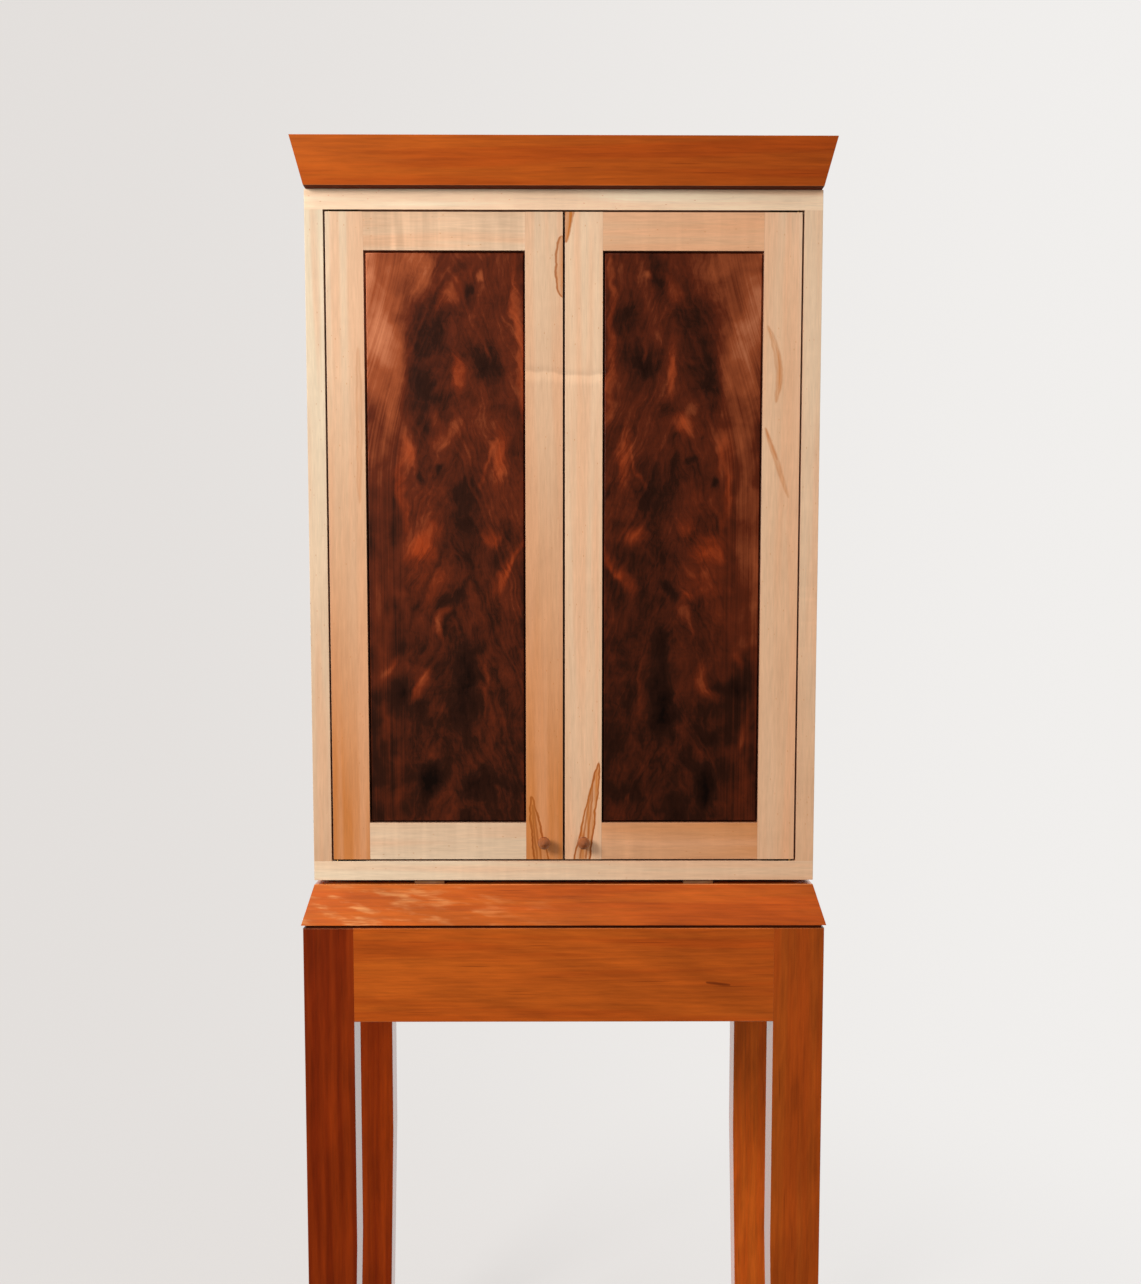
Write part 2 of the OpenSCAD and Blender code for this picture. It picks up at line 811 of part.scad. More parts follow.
// The strike lies flush in the rear of the lock stile, opposite the magnet
module strike_place() {
    translate([-door_mid_gap / 2 - stile_w / 2, door_back, open_top_z - stop_top_h / 2])
        rotate([-90, 0, 0]) children();
}

module door_strike(right) {
    color(steel) mirrored(right) strike_place()
        translate([0, 0, -strike_t]) cylinder(r = magnet_r, h = strike_t);
}

// Knobs: a turned button head on a waisted neck, with a spigot in the stile

// The neck: one wave from the door to the head, as radius and distance from the door
function neck_points() = [for (i = [0 : neck_steps])
    let (t = i / neck_steps, wave = (1 + cos(360 * t)) / 2)
    [knob_neck_d / 2 + knob_neck_flare * wave + knob_neck_swell * t,
     t * (knob_out - knob_head_h)]];

// The head: part of an ellipse, from its curled-in rim to its crown
function head_points() = [for (i = [0 : head_steps])
    let (a = -knob_under + i * (90 + knob_under) / head_steps)
    [max(0, knob_d / 2 * cos(a)), knob_out - knob_dome_h * (1 - sin(a))]];

module knob_place() {
    translate([-knob_x, door_y, door_z + knob_z]) rotate([90, 0, 0]) children();
}

module door_knob(right) {
    color(cherry_dark) mirrored(right) knob_place() {
        rotate_extrude() polygon(concat([[0, 0]], neck_points(), head_points()));
        translate([0, 0, -knob_spigot_l])
            cylinder(d = knob_spigot_d, h = knob_spigot_l + merge);
    }
}

// Crown

// What is cut from the crown members: the panel groove and the screw holes
module crown_cuts() {
    ring_tongue(crown_hole, crown_panel_z + (crown_panel_t - panel_tongue_t) / 2,
        panel_tongue_t, panel_tongue_l + end_gap, joint_gap);
    crown_screw_places() screw(crown_screw, fit_gap);
}

module crown_long(back) {
    color(cherry) difference() {
        turned_back(back) translate([0, 0, case_top_z])
            sloped_front(crown_low, crown_high, crown_hole, crown_h);
        crown_cuts();
    }
}

module crown_side(right) {
    color(cherry) difference() {
        mirrored(right) translate([0, 0, case_top_z])
            sloped_left(crown_low, crown_high, crown_hole, crown_h);
        crown_cuts();
    }
}

module crown_panel() {
    color(cherry) ring_panel(crown_hole, crown_panel_z, crown_panel_t);
}

// Its children at each crown screw, whose head is let into the case top
module crown_screw_places() {
    for (x = [-crown_screw_x, crown_screw_x], y = [-crown_screw_y, crown_screw_y])
        translate([x, y, open_top_z + crown_screw[1]]) children();
}

module crown_screws() {
    color(steel) crown_screw_places() screw(crown_screw);
}

leg(false, false);  // leg_front_left
leg(true, false);  // leg_front_right
leg(false, true);  // leg_rear_left
leg(true, true);  // leg_rear_right
long_apron(false);  // apron_front
long_apron(true);  // apron_back
side_apron(false);  // apron_left
side_apron(true);  // apron_right
top_spacer_strips();
stand_top_long(false);  // stand_top_front
stand_top_long(true);  // stand_top_back
stand_top_side(false);  // stand_top_left
stand_top_side(true);  // stand_top_right
stand_top_panel();
top_buttons();
button_screws();
runner(false);  // runner_left
runner(true);  // runner_right
case_fixing_screws();
case_side(false);  // case_left_side
case_side(true);  // case_right_side
case_top();
case_bottom();
back_stile(false);  // back_stile_left
back_stile(true);  // back_stile_right
in_back() frame_top_rail(back_set_size);  // back_rail_top
in_back() frame_bottom_rail(back_set_size);  // back_rail_bottom
in_back() frame_panel(back_set_size);  // back_panel
shelf(shelf_lower_z);  // shelf_lower
shelf(shelf_upper_z);  // shelf_upper
shelf_pins();
door_stop_top();
door_stop_bottom();
stop_magnets();
case_hinge_plates();
case_hinge_screws();
crown_long(false);  // crown_front
crown_long(true);  // crown_back
crown_side(false);  // crown_left
crown_side(true);  // crown_right
crown_panel();
crown_screws();
door_hinge_stile(false);  // left_hinge_stile
door_lock_stile(false);  // left_lock_stile
door_top_rail(false);  // left_top_rail
door_bottom_rail(false);  // left_bottom_rail
door_panel(false);  // left_panel
door_knob(false);  // left_knob
door_hinge_plates(false);  // left_hinge_plates
door_hinge_screws(false);  // left_hinge_screws
door_strike(false);  // left_strike
door_hinge_stile(true);  // right_hinge_stile
door_lock_stile(true);  // right_lock_stile
door_top_rail(true);  // right_top_rail
door_bottom_rail(true);  // right_bottom_rail
door_panel(true);  // right_panel
door_knob(true);  // right_knob
door_hinge_plates(true);  // right_hinge_plates
door_hinge_screws(true);  // right_hinge_screws
door_strike(true);  // right_strike
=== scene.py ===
"""Looks of a display cabinet on a stand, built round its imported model.

A maple case with two doors of crotch walnut stands on thin runners above a cherry
stand, under a flared cherry crown. Lengths are metres in the shared frame: +Z is up,
the front faces -Y, and the origin is on the floor under the middle of the stand.
"""

from __future__ import annotations

import json
import logging
import math
import random
from collections.abc import Iterable, Mapping, Sequence
from dataclasses import dataclass, field, replace
from enum import Enum
from typing import Union

import bmesh
import bpy
from mathutils import Matrix, Vector

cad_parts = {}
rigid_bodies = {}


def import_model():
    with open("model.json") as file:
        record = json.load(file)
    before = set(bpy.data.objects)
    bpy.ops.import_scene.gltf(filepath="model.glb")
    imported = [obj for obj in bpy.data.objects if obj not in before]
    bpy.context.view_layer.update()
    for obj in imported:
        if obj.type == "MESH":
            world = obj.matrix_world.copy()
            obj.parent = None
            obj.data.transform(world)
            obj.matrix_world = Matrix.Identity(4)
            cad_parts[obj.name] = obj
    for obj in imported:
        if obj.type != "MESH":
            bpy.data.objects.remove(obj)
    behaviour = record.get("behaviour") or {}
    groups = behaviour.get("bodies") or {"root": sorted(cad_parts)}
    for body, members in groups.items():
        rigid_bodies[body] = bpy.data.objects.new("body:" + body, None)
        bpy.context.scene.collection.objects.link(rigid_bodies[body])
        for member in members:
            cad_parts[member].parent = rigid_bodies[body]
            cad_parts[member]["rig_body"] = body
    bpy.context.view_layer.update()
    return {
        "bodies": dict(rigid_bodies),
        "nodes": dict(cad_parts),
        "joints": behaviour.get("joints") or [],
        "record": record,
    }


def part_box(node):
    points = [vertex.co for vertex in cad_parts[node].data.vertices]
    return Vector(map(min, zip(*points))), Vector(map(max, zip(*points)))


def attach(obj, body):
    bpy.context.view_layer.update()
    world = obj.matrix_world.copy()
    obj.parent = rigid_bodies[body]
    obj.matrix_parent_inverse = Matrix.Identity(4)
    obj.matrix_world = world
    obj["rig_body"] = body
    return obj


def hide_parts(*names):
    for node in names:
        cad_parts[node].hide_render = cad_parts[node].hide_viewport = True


LOG = logging.getLogger("cabinet")

Colour = tuple[float, float, float, float]
Triple = tuple[float, float, float]
Box = tuple[Vector, Vector]
Number = Union[float, "Wire"]
Settings = Mapping[str, object]
Values = Mapping[object, object]
Socket = bpy.types.NodeSocket
Material = bpy.types.Material
Mesh = bpy.types.Mesh
BMesh = bmesh.types.BMesh
Object = bpy.types.Object
Pieces = list[Object]

# Depth of the grain's relief, and how near two points are that count as one, in metres
WOOD_RELIEF = 0.0001
SAME_PLACE = 0.000001

# Cosine above which two faces at a corner share their light
SAME_SIDE = 0.3

# Painted shade on the narrow sides of the doors' boards, which stand in the gaps, and how much duller they
# are
DOOR_GAP_SHADE = 0.5


def srgb(red: float, green: float, blue: float) -> Colour:
    """Turns a screen colour into the linear colour that shaders take.

    Args:
        red: Red, 0 to 255.
        green: Green, 0 to 255.
        blue: Blue, 0 to 255.

    Returns:
        The linear colour with full alpha.
    """
    parts = [part / 255 for part in (red, green, blue)]
    linear = [p / 12.92 if p <= 0.04045 else ((p + 0.055) / 1.055) ** 2.4 for p in parts]
    return (linear[0], linear[1], linear[2], 1.0)


class Way(Enum):
    """The six directions of the shared frame."""

    RIGHT = (1, 0, 0)
    LEFT = (-1, 0, 0)
    BACK = (0, 1, 0)
    FRONT = (0, -1, 0)
    UP = (0, 0, 1)
    DOWN = (0, 0, -1)

    def vector(self) -> Vector:
        """The direction as a vector of length one."""
        return Vector(self.value)


class Side(Enum):
    """Left or right as seen from the front; the value is the sign of X."""

    LEFT = -1
    RIGHT = 1

    def word(self) -> str:
        """The side as it stands in the names of pieces."""
        return self.name.lower()

    def outward(self) -> Way:
        """The direction from the middle of the cabinet to this side."""
        return Way.LEFT if self is Side.LEFT else Way.RIGHT


# Objects and materials


def linked(name: str, data: bpy.types.ID) -> Object:
    """Makes an object and links it to the scene.

    Args:
        name: Its name.
        data: Its mesh, lamp or camera.

    Returns:
        The object.
    """
    thing = bpy.data.objects.new(name, data)
    bpy.context.scene.collection.objects.link(thing)
    return thing


def blank_material(name: str) -> Material:
    """Makes a material whose node tree is empty.

    Args:
        name: Its name.

    Returns:
        The material.
    """
    material = bpy.data.materials.new(name)
    material.use_nodes = True
    material.node_tree.nodes.clear()
    return material


# Node trees


class Wire:
    """A number that one node hands to the next, used like a Python number."""

    def __init__(self, bench: Bench, socket: Socket) -> None:
        """Wraps one output socket of a node on a bench."""
        self.bench = bench
        self.socket = socket

    def math(self, operation: str, *terms: Number) -> Wire:
        """Adds a Math node.

        Args:
            operation: Its operation.
            *terms: Its values, in order.

        Returns:
            Its result.
        """
        return self.bench.wire("ShaderNodeMath", {"operation": operation}, dict(enumerate(terms)))

    def __add__(self, other: Number) -> Wire:
        """Sum."""
        return self.math("ADD", self, other)

    __radd__ = __add__

    def __sub__(self, other: Number) -> Wire:
        """Difference."""
        return self.math("SUBTRACT", self, other)

    def __rsub__(self, other: Number) -> Wire:
        """Difference from a number."""
        return self.math("SUBTRACT", other, self)

    def __mul__(self, other: Number) -> Wire:
        """Product."""
        return self.math("MULTIPLY", self, other)

    __rmul__ = __mul__

    def __truediv__(self, other: Number) -> Wire:
        """Quotient."""
        return self.math("DIVIDE", self, other)

    def __abs__(self) -> Wire:
        """Size without its sign."""
        return self.math("ABSOLUTE", self)

    def root(self) -> Wire:
        """Square root."""
        return self.math("SQRT", self)

    def sine(self) -> Wire:
        """Sine of an angle in radians."""
        return self.math("SINE", self)

    def cosine(self) -> Wire:
        """Cosine of an angle in radians."""
        return self.math("COSINE", self)

    def wrapped(self) -> Wire:
        """The part after the decimal point."""
        return self.math("FRACT", self)

    def most(self, other: Number) -> Wire:
        """The larger of two numbers."""
        return self.math("MAXIMUM", self, other)

    def least(self, other: Number) -> Wire:
        """The smaller of two numbers."""
        return self.math("MINIMUM", self, other)

    def above(self, edge: Number) -> Wire:
        """One where the number is above an edge, and else zero."""
        return self.math("GREATER_THAN", self, edge)

    def fade(self, start: Number, end: Number) -> Wire:
        """Rises smoothly from zero at start to one at end; start may be the larger.

        Args:
            start: Where the result is zero.
            end: Where the result is one.

        Returns:
            A number from zero to one.
        """
        values = {"Value": self, "From Min": start, "From Max": end}
        return self.bench.wire("ShaderNodeMapRange", {"interpolation_type": "SMOOTHSTEP"}, values)


class Bench:
    """Adds nodes to one tree."""

    def __init__(self, tree: bpy.types.NodeTree) -> None:
        """Starts work on a tree."""
        self.tree = tree

    def node(self, kind: str, settings: Settings, values: Values) -> bpy.types.Node:
        """Adds a node of any type.

        Args:
            kind: Its type.
            settings: Its settings, set first. "stops" holds the stops of a colour ramp.
            values: What goes into its sockets, by name or number: a wire, a socket or a value.

        Returns:
            The node.
        """
        node = self.tree.nodes.new(kind)
        for name, setting in settings.items():
            if name == "stops":
                self.set_stops(node.color_ramp, setting)
            else:
                setattr(node, name, setting)
        for key, value in values.items():
            source = value.socket if isinstance(value, Wire) else value
            if isinstance(source, Socket):
                self.tree.links.new(source, node.inputs[key])
            else:
                node.inputs[key].default_value = source
        return node

    def wire(self, kind: str, settings: Settings, values: Values, output: int = 0) -> Wire:
        """Adds a node and wraps one of its outputs; the arguments are those of node()."""
        return Wire(self, self.node(kind, settings, values).outputs[output])

    @staticmethod
    def set_stops(ramp: bpy.types.ColorRamp, stops: Sequence[tuple[float, Colour]]) -> None:
        """Gives a colour ramp its stops.

        Args:
            ramp: The ramp.
            stops: Position and colour of each stop, in order.
        """
        while len(ramp.elements) < len(stops):
            ramp.elements.new(1.0)
        for element, (position, colour) in zip(ramp.elements, stops):
            element.position = position
            element.color = colour

    def split(self, vector: Socket) -> tuple[Wire, Wire, Wire]:
        """The three numbers of a vector."""
        parts = self.node("ShaderNodeSeparateXYZ", {}, {0: vector})
        return Wire(self, parts.outputs[0]), Wire(self, parts.outputs[1]), Wire(self, parts.outputs[2])

    def join(self, x: Number, y: Number, z: Number) -> Socket:
        """The vector of three numbers."""
        return self.node("ShaderNodeCombineXYZ", {}, {0: x, 1: y, 2: z}).outputs[0]

    def vector(self, operation: str, values: Values) -> Socket:
        """The vector result of a Vector Math node.

        Args:
            operation: Its operation.
            values: What goes into its sockets, by name or number.

        Returns:
            Its vector output.
        """
        return self.node("ShaderNodeVectorMath", {"operation": operation}, values).outputs[0]

    def measure(self, operation: str, values: Values) -> Wire:
        """The number that a Vector Math node gives; the arguments are those of vector()."""
        return self.wire("ShaderNodeVectorMath", {"operation": operation}, values, output=1)

    def blend(self, share: Number, first: object, second: object) -> Socket:
        """Mixes two colours.

        Args:
            share: Share of the second colour, which is kept between zero and one.
            first: Colour or socket at a share of zero.
            second: Colour or socket at a share of one.

        Returns:
            The mixed colour.
        """
        factor, colour_a, colour_b, result = 0, 6, 7, 2
        values = {factor: share, colour_a: first, colour_b: second}
        return self.node("ShaderNodeMix", {"data_type": "RGBA"}, values).outputs[result]


# Wood


@dataclass(frozen=True)
class Streak:
    """A pointed streak of darker heartwood with a thin dark outline.

    Attributes:
        foot: Where its wide end lies, along and across the board from its middle.
        length: Length from foot to tip; negative points it the other way.
        width: Half its width at the widest.
        lean: How far the tip lies across from the foot.
        bow: How far its middle bows out across the board.
        open_foot: True where the board's end cuts it, False where both ends are pointed.
        depth: How strong its colour is, from 0 to about 1.
        rim: How dark its outline is, 0 to 1.
    """

    foot: tuple[float, float]
    length: float
    width: float
    lean: float = 0.0
    bow: float = 0.0
    open_foot: bool = True
    depth: float = 0.6
    rim: float = 0.5


@dataclass(frozen=True)
class Cut:
    """How one board was sawn from its log and what shows in it.

    Attributes:
        along: Direction of the grain.
        out: Direction that the face looks.
        seed: Picks the board's own figure.
        pith: Where the middle of the log lies, across and out from the board's middle.
        lean: How far the log's middle runs across and out along each metre of the board.
        head: Share of the deep colour at the end that along points to.
        foot: Share of the deep colour at the other end.
        light: Lightness of the board among others of its timber; on some boards it is partly painted light
            or painted shade.
        ripple: Strength of the curly figure, as a share of the timber's own.
        sheen_reach: Distance from the middle towards the foot end at which the painted sheen is full.
        flank: Painted shade on its narrow sides, which stand in gaps, and how much duller they are, 0 to 1.
        bars: Where single pale bars of curl cross it, along from its middle.
        streaks: Streaks of heartwood in it.
    """

    along: Way
    out: Way
    seed: int
    pith: tuple[float, float] = (0.12, -0.06)
    lean: tuple[float, float] = (0.015, 0.02)
    head: float = 0.4
    foot: float = 0.5
    light: float = 1.0
    ripple: float = 0.15
    sheen_reach: float = 0.3
    flank: float = 0.0
    bars: tuple[float, ...] = ()
    streaks: tuple[Streak, ...] = ()


class BoardBench(Bench):
    """The shader of one board, with coordinates that follow its grain.

    The wires along, across and out are metres from the board's origin. The wire ends is one on
    end grain, edge is one on rounded edges, flank is one on narrow sides, and under is one on
    undersides, which are left dull and get painted shade. The vector slanted runs askew to the
    grain.
    The value cut tells how the board was sawn.
    """

    # Parts of a normal between which each mask goes from zero to one
    ends_at = (0.55, 0.85)
    edge_at = (0.945, 0.88)
    under_at = (-0.7, -0.95)
    flank_at = (0.98, 0.75)

    # Metres along that a slanted line moves for each metre across
    slant = 1.6

    # How many features away a random place may lie
    reach = 50

    # How far a streak's outline may wander, in metres and as a share of its width
    widest_wander = 0.006
    wander_share = 1.1

    def __init__(self, name: str, origin: Vector, cut: Cut, mirrored: bool = False) -> None:
        """Makes the material and its coordinates.

        Args:
            name: Name of the material.
            origin: Where the board's own coordinates start.
            cut: How the board lies in its log.
            mirrored: Whether its figure is mirrored across the board.
        """
        self.material = blank_material(name)
        super().__init__(self.material.node_tree)
        self.cut = cut
        self.chance = random.Random(cut.seed)
        along, out = cut.along.vector(), cut.out.vector()
        turn = Matrix((along, out.cross(along), out)).transposed().to_euler()
        here = self.node("ShaderNodeTexCoord", {}, {})
        placing = {"Vector": here.outputs["Object"], "Location": origin, "Rotation": turn,
                   "Scale": (1, -1 if mirrored else 1, 1)}
        placed = self.node("ShaderNodeMapping", {"vector_type": "TEXTURE"}, placing)
        self.grain = placed.outputs[0]
        self.along, self.across, self.out = self.split(self.grain)
        self.slanted = self.join(self.along + self.across * self.slant, self.across, self.out)
        normal = here.outputs["Normal"]
        x, y, z = self.split(self.vector("ABSOLUTE", {0: normal}))
        self.edge = x.most(y).most(z).fade(*self.edge_at)
        self.under = self.split(normal)[2].fade(*self.under_at)
        self.ends = abs(self.measure("DOT_PRODUCT", {0: normal, 1: along})).fade(*self.ends_at)
        self.flank = abs(self.measure("DOT_PRODUCT", {0: normal, 1: out})).fade(*self.flank_at)

    def scattered(self, stretch: Triple, where: Socket | None = None) -> Socket:
        """Stretched coordinates with a random place of their own.

        Args:
            stretch: Features a metre along, across and out of the board.
            where: Vector that is stretched, or None for the grain.

        Returns:
            The coordinates.
        """
        shift = [self.chance.uniform(-self.reach, self.reach) for _ in range(3)]
        place = {"Vector": where or self.grain, "Location": shift, "Scale": stretch}
        return self.node("ShaderNodeMapping", {}, place).outputs[0]

    def noise(self, stretch: Triple, detail: float = 1.0, where: Socket | None = None) -> Wire:
        """Smooth noise from zero to one.

        Args:
            stretch: Features a metre along, across and out of the board.
            detail: How many finer layers it has.
            where: Vector that it is read at, or None for the grain.

        Returns:
            The noise, with a place of its own in every call.
        """
        return Wire(self, self.noise_node(stretch, detail, where).outputs[0])

    def noise_node(self, stretch: Triple, detail: float, where: Socket | None) -> bpy.types.Node:
        """The node behind noise(), with the same arguments."""
        values = {"Vector": self.scattered(stretch, where), "Scale": 1.0, "Detail": detail}
        return self.node("ShaderNodeTexNoise", {}, values)

    def sway(self, stretch: Triple, detail: float = 1.0, where: Socket | None = None) -> Wire:
        """Smooth noise from -0.5 to 0.5; the arguments are those of noise()."""
        return self.noise(stretch, detail, where) - 0.5

    def bend_grain(self, bend: float, tremor: float) -> None:
        """Makes the grain wander, so that all that follows it wanders too.

        Args:
            bend: How far the long, slow bends reach.
            tremor: How far the short, quick bends reach.
        """
        slow, slow_out, quick = (self.sway(by) for by in ((2.2, 5, 5), (2.2, 5, 5), (16, 30, 30)))
        self.across = self.across + slow * bend + quick * tremor
        self.out = self.out + slow_out * bend
        self.grain = self.join(self.along, self.across, self.out)

    def rings(self, spacing: float) -> Wire:
        """Counts growth rings outwards from the middle of the log.

        Args:
            spacing: Distance between rings.

        Returns:
            The number of rings to the log's middle, with its fraction.
        """
        across = self.across - self.cut.pith[0] - self.along * self.cut.lean[0]
        out = self.out - self.cut.pith[1] - self.along * self.cut.lean[1]
        uneven = self.sway((1.5, 16, 16)) * (spacing * 2.5)
        return ((across * across + out * out).root() + uneven) / spacing

    def spots(self, stretch: Triple, size: float, share: float) -> Wire:
        """Scattered marks, drawn out along the grain.

        Args:
            stretch: Marks a metre along, across and out of the board.
            size: Radius of a mark, as a share of its spacing.
            share: Share of the places that hold one.

        Returns:
            One in a mark and zero around it.
        """
        placed = self.scattered(stretch)
        cells = self.node("ShaderNodeTexVoronoi", {}, {"Vector": placed, "Scale": 1.0})
        pick = self.wire("ShaderNodeTexWhiteNoise", {}, {"Vector": cells.outputs["Position"]})
        near = Wire(self, cells.outputs["Distance"]).fade(size, size * 0.35)
        return near * pick.above(1 - share)

    def streak(self, streak: Streak) -> tuple[Wire, Wire]:
        """The fill and the outline of one streak of heartwood.

        Args:
            streak: Its place and size.

        Returns:
            One inside the streak, and one on its outline.
        """
        run = (self.along - streak.foot[0]) / streak.length
        rest = (1 - run).most(0.0)
        bulge = run * rest * 4
        most = min(streak.width * self.wander_share, self.widest_wander)
        wander = self.sway((70, 60, 60), detail=2) * most
        off = abs(self.across - streak.foot[1] - run * streak.lean - bulge * streak.bow + wander)
        swell = (rest * 1.3).root() if streak.open_foot else bulge.most(0.0).root()
        inside = swell * streak.width - off
        present = run.fade(-0.02, 0.01) * run.fade(1.02, 0.98)
        fill = inside.fade(-0.0004, 0.0012) * present
        rim = inside.fade(-0.0012, -0.0001) * inside.fade(0.0019, 0.0007) * present
        return fill, rim

    def surface(self, look: Values, height: Wire, relief: float, strength: float = 0.5) -> Material:
        """Ends the tree in a surface with a fine relief.

        Args:
            look: What goes into the sockets of its shader, by name.
            height: Relief from about zero to one.
            relief: Depth of that relief in metres.
            strength: Share of that relief that shows.

        Returns:
            The finished material.
        """
        values = {"Strength": strength, "Distance": relief, "Height": height}
        bump = self.node("ShaderNodeBump", {}, values)
        shader = self.node("ShaderNodeBsdfPrincipled", {}, {**look, "Normal": bump.outputs[0]})
        self.node("ShaderNodeOutputMaterial", {}, {"Surface": shader.outputs[0]})
        return self.material


@dataclass(frozen=True)
class Figure:
    """The plain figure of one board, before its streaks and marks.

    Attributes:
        phase: Place between one growth line and the next, 0 to 1.
        line: One on a clear growth line, and zero between lines.
        broad: Broad bands along the grain, about zero.
        cloud: Soft clouds aslant over the grain, about zero.
        streaky: Fine lines along the grain, about zero.
        fibre: Finer lines, about zero.
    """

    phase: Wire
    line: Wire
    broad: Wire
    cloud: Wire
    streaky: Wire
    fibre: Wire


@dataclass(frozen=True)
class Timber:
    """A straight-grained timber and its oiled finish.

    Attributes:
        slot: Name of the finish in the record.
        pale: Its lightest wood.
        deep: Its darkest wood.
        line: Colour of its growth lines, also painted as shade on undersides and on narrow sides in gaps.
        heart: Colour of its heartwood streaks.
        shine: Colour of the painted sheen, and of the wear and painted highlight on rounded edges.
        tone: Second tone that runs through it in soft streaks.
        ring: Distance between growth lines.
        line_share: Strength of the growth lines.
        band: Strength of the broad bands along the grain.
        mottle: Strength of the soft clouds.
        grain: Strength of the fine lines along the grain.
        edge_wear_and_highlight: Share of the lighter colour on rounded edges: wear and a painted highlight.
        under_shade_share: Share of the line colour painted on undersides as shade.
        ripple: Strength of the curly figure across the grain.
        glow: Strength of the painted sheen: patches that catch the light.
        blush: Strength of the soft streaks of a second tone.
        dashes: Share of places that hold a thin dark dash along the grain.
        flecks: Share of places that hold a small brown fleck.
        rough: Roughness of the finish.
        gloss: Specular level of the wood.
        lacquer: Weight of the clear coat.
    """

    slot: str
    pale: Colour
    deep: Colour
    line: Colour
    heart: Colour
    shine: Colour
    tone: Colour
    ring: float = 0.0042
    line_share: float = 0.4
    band: float = 0.8
    mottle: float = 0.2
    grain: float = 0.16
    edge_wear_and_highlight: float = 0.4
    under_shade_share: float = 0.2
    ripple: float = 0.0
    glow: float = 0.0
    blush: float = 0.4
    dashes: float = 0.0
    flecks: float = 0.0
    rough: float = 0.31
    gloss: float = 0.12
    lacquer: float = 0.5

    # How far the grain of all timbers bends, in metres
    bend = 0.008
    tremor = 0.0016

    # Lightness: strength of the fibres, how much darker end grain is, and the painted shade on undersides
    fibre_light = 0.24
    end_shade = 0.3
    under_shade = 0.35

    # How strongly dashes and flecks show
    dash_depth = 0.4
    fleck_depth = 0.6

    # Roughness: how dull end grain is, what full dullness adds, and the clear coat
    dull_ends = 0.3
    dull_rough = 0.4
    coat_rough = 0.2

    def material(self, name: str, box: Box, cut: Cut) -> Material:
        """Makes the material of one board.

        Args:
            name: Name of the material.
            box: Low and high corner of the board.
            cut: How it was sawn.

        Returns:
            The material.
        """
        bench = BoardBench(name, (box[0] + box[1]) / 2, cut)
        half = abs((box[1] - box[0]).dot(cut.along.vector())) / 2
        figure = self.figure(bench)
        colour = self.ground(bench, figure, half)
        colour = self.streaked(bench, figure, colour)
        light = self.lightness(bench, figure)
        colour = self.marked(bench, figure, colour)
        dull = bench.under + bench.flank * cut.flank + bench.ends * self.dull_ends
        look = {
            "Base Color": bench.vector("SCALE", {0: colour, "Scale": light}),
            "Roughness": self.rough + (figure.broad + figure.line) * 0.05 + dull * self.dull_rough,
            "Specular IOR Level": self.gloss,
            "Coat Weight": (1 - bench.under) * (1 - bench.flank * cut.flank) * self.lacquer,
            "Coat Roughness": self.coat_rough,
        }
        height = 0.5 + figure.fibre * 0.5 + figure.streaky * 0.3 - figure.line * 0.2
        return bench.surface(look, height, WOOD_RELIEF)

    def figure(self, bench: BoardBench) -> Figure:
        """Makes the plain figure of one board and bends its grain.

        Args:
            bench: The board's shader.

        Returns:
            The figure, drawn from the board's seed in the order of its fields.
        """
        bench.bend_grain(self.bend, self.tremor)
        phase = bench.rings(self.ring).wrapped()
        clear = bench.noise((6, 90, 90)).fade(0.4, 0.68)
        return Figure(
            phase=phase,
            line=phase.fade(0.45, 0.92) * phase.fade(1.0, 0.92) * clear,
            broad=bench.sway((1.8, 26, 26), detail=2),
            cloud=bench.sway((14, 34, 30), detail=3, where=bench.slanted),
            streaky=bench.sway((17, 330, 330), detail=3),
            fibre=bench.sway((60, 620, 620), detail=2),
        )

    def ground(self, bench: BoardBench, figure: Figure, half: float) -> Socket:
        """The colour of a board without streaks and marks.

        Args:
            bench: The board's shader.
            figure: Its plain figure.
            half: Half its length.

        Returns:
            The colour.
        """
        cut = bench.cut
        place = (bench.along / half + 1) * 0.5
        share = cut.foot + (cut.head - cut.foot) * place + figure.broad * self.band
        share = share + (figure.phase - 0.5) * self.line_share * 0.5
        colour = bench.blend(share, self.pale, self.deep)
        second = bench.noise((3, 75, 75)).fade(0.42, 0.64)
        colour = bench.blend(second * self.blush, colour, self.tone)
        return bench.blend(figure.line * self.line_share, colour, self.line)

    def streaked(self, bench: BoardBench, figure: Figure, colour: Socket) -> Socket:
        """Adds the streaks of heartwood.

        Args:
            bench: The board's shader.
            figure: Its plain figure.
            colour: The colour so far.

        Returns:
            The colour with the streaks.
        """
        for streak in bench.cut.streaks:
            fill, rim = bench.streak(streak)
            fill = fill * (streak.depth * (0.7 + figure.streaky * 2.4))
            colour = bench.blend(fill, colour, self.heart)
            colour = bench.blend(rim * (streak.rim * 1.3), colour, self.heart)
            dark = rim * (streak.rim * (0.55 + figure.cloud * 1.4))
            colour = bench.blend(dark, colour, self.line)
        return colour

    def lightness(self, bench: BoardBench, figure: Figure) -> Wire:
        """How light each place of a board is.

        Args:
            bench: The board's shader.
            figure: Its plain figure.

        Returns:
            The factor for the colour, about one.
        """
        fibre = figure.fibre * self.fibre_light
        light = 1 + figure.streaky * self.grain + figure.cloud * self.mottle + fibre
        # Undersides are painted darker, as shade
        light = light * (1 - bench.ends * self.end_shade) * (1 - bench.under * self.under_shade)
        light = light * bench.cut.light
        for bar in bench.cut.bars:
            light = light * (1 + self.curl_bar(bench, bar))
        ripple = self.ripple * bench.cut.ripple
        if ripple:
            light = light * (1 + self.curl(bench) * ripple)
        return light

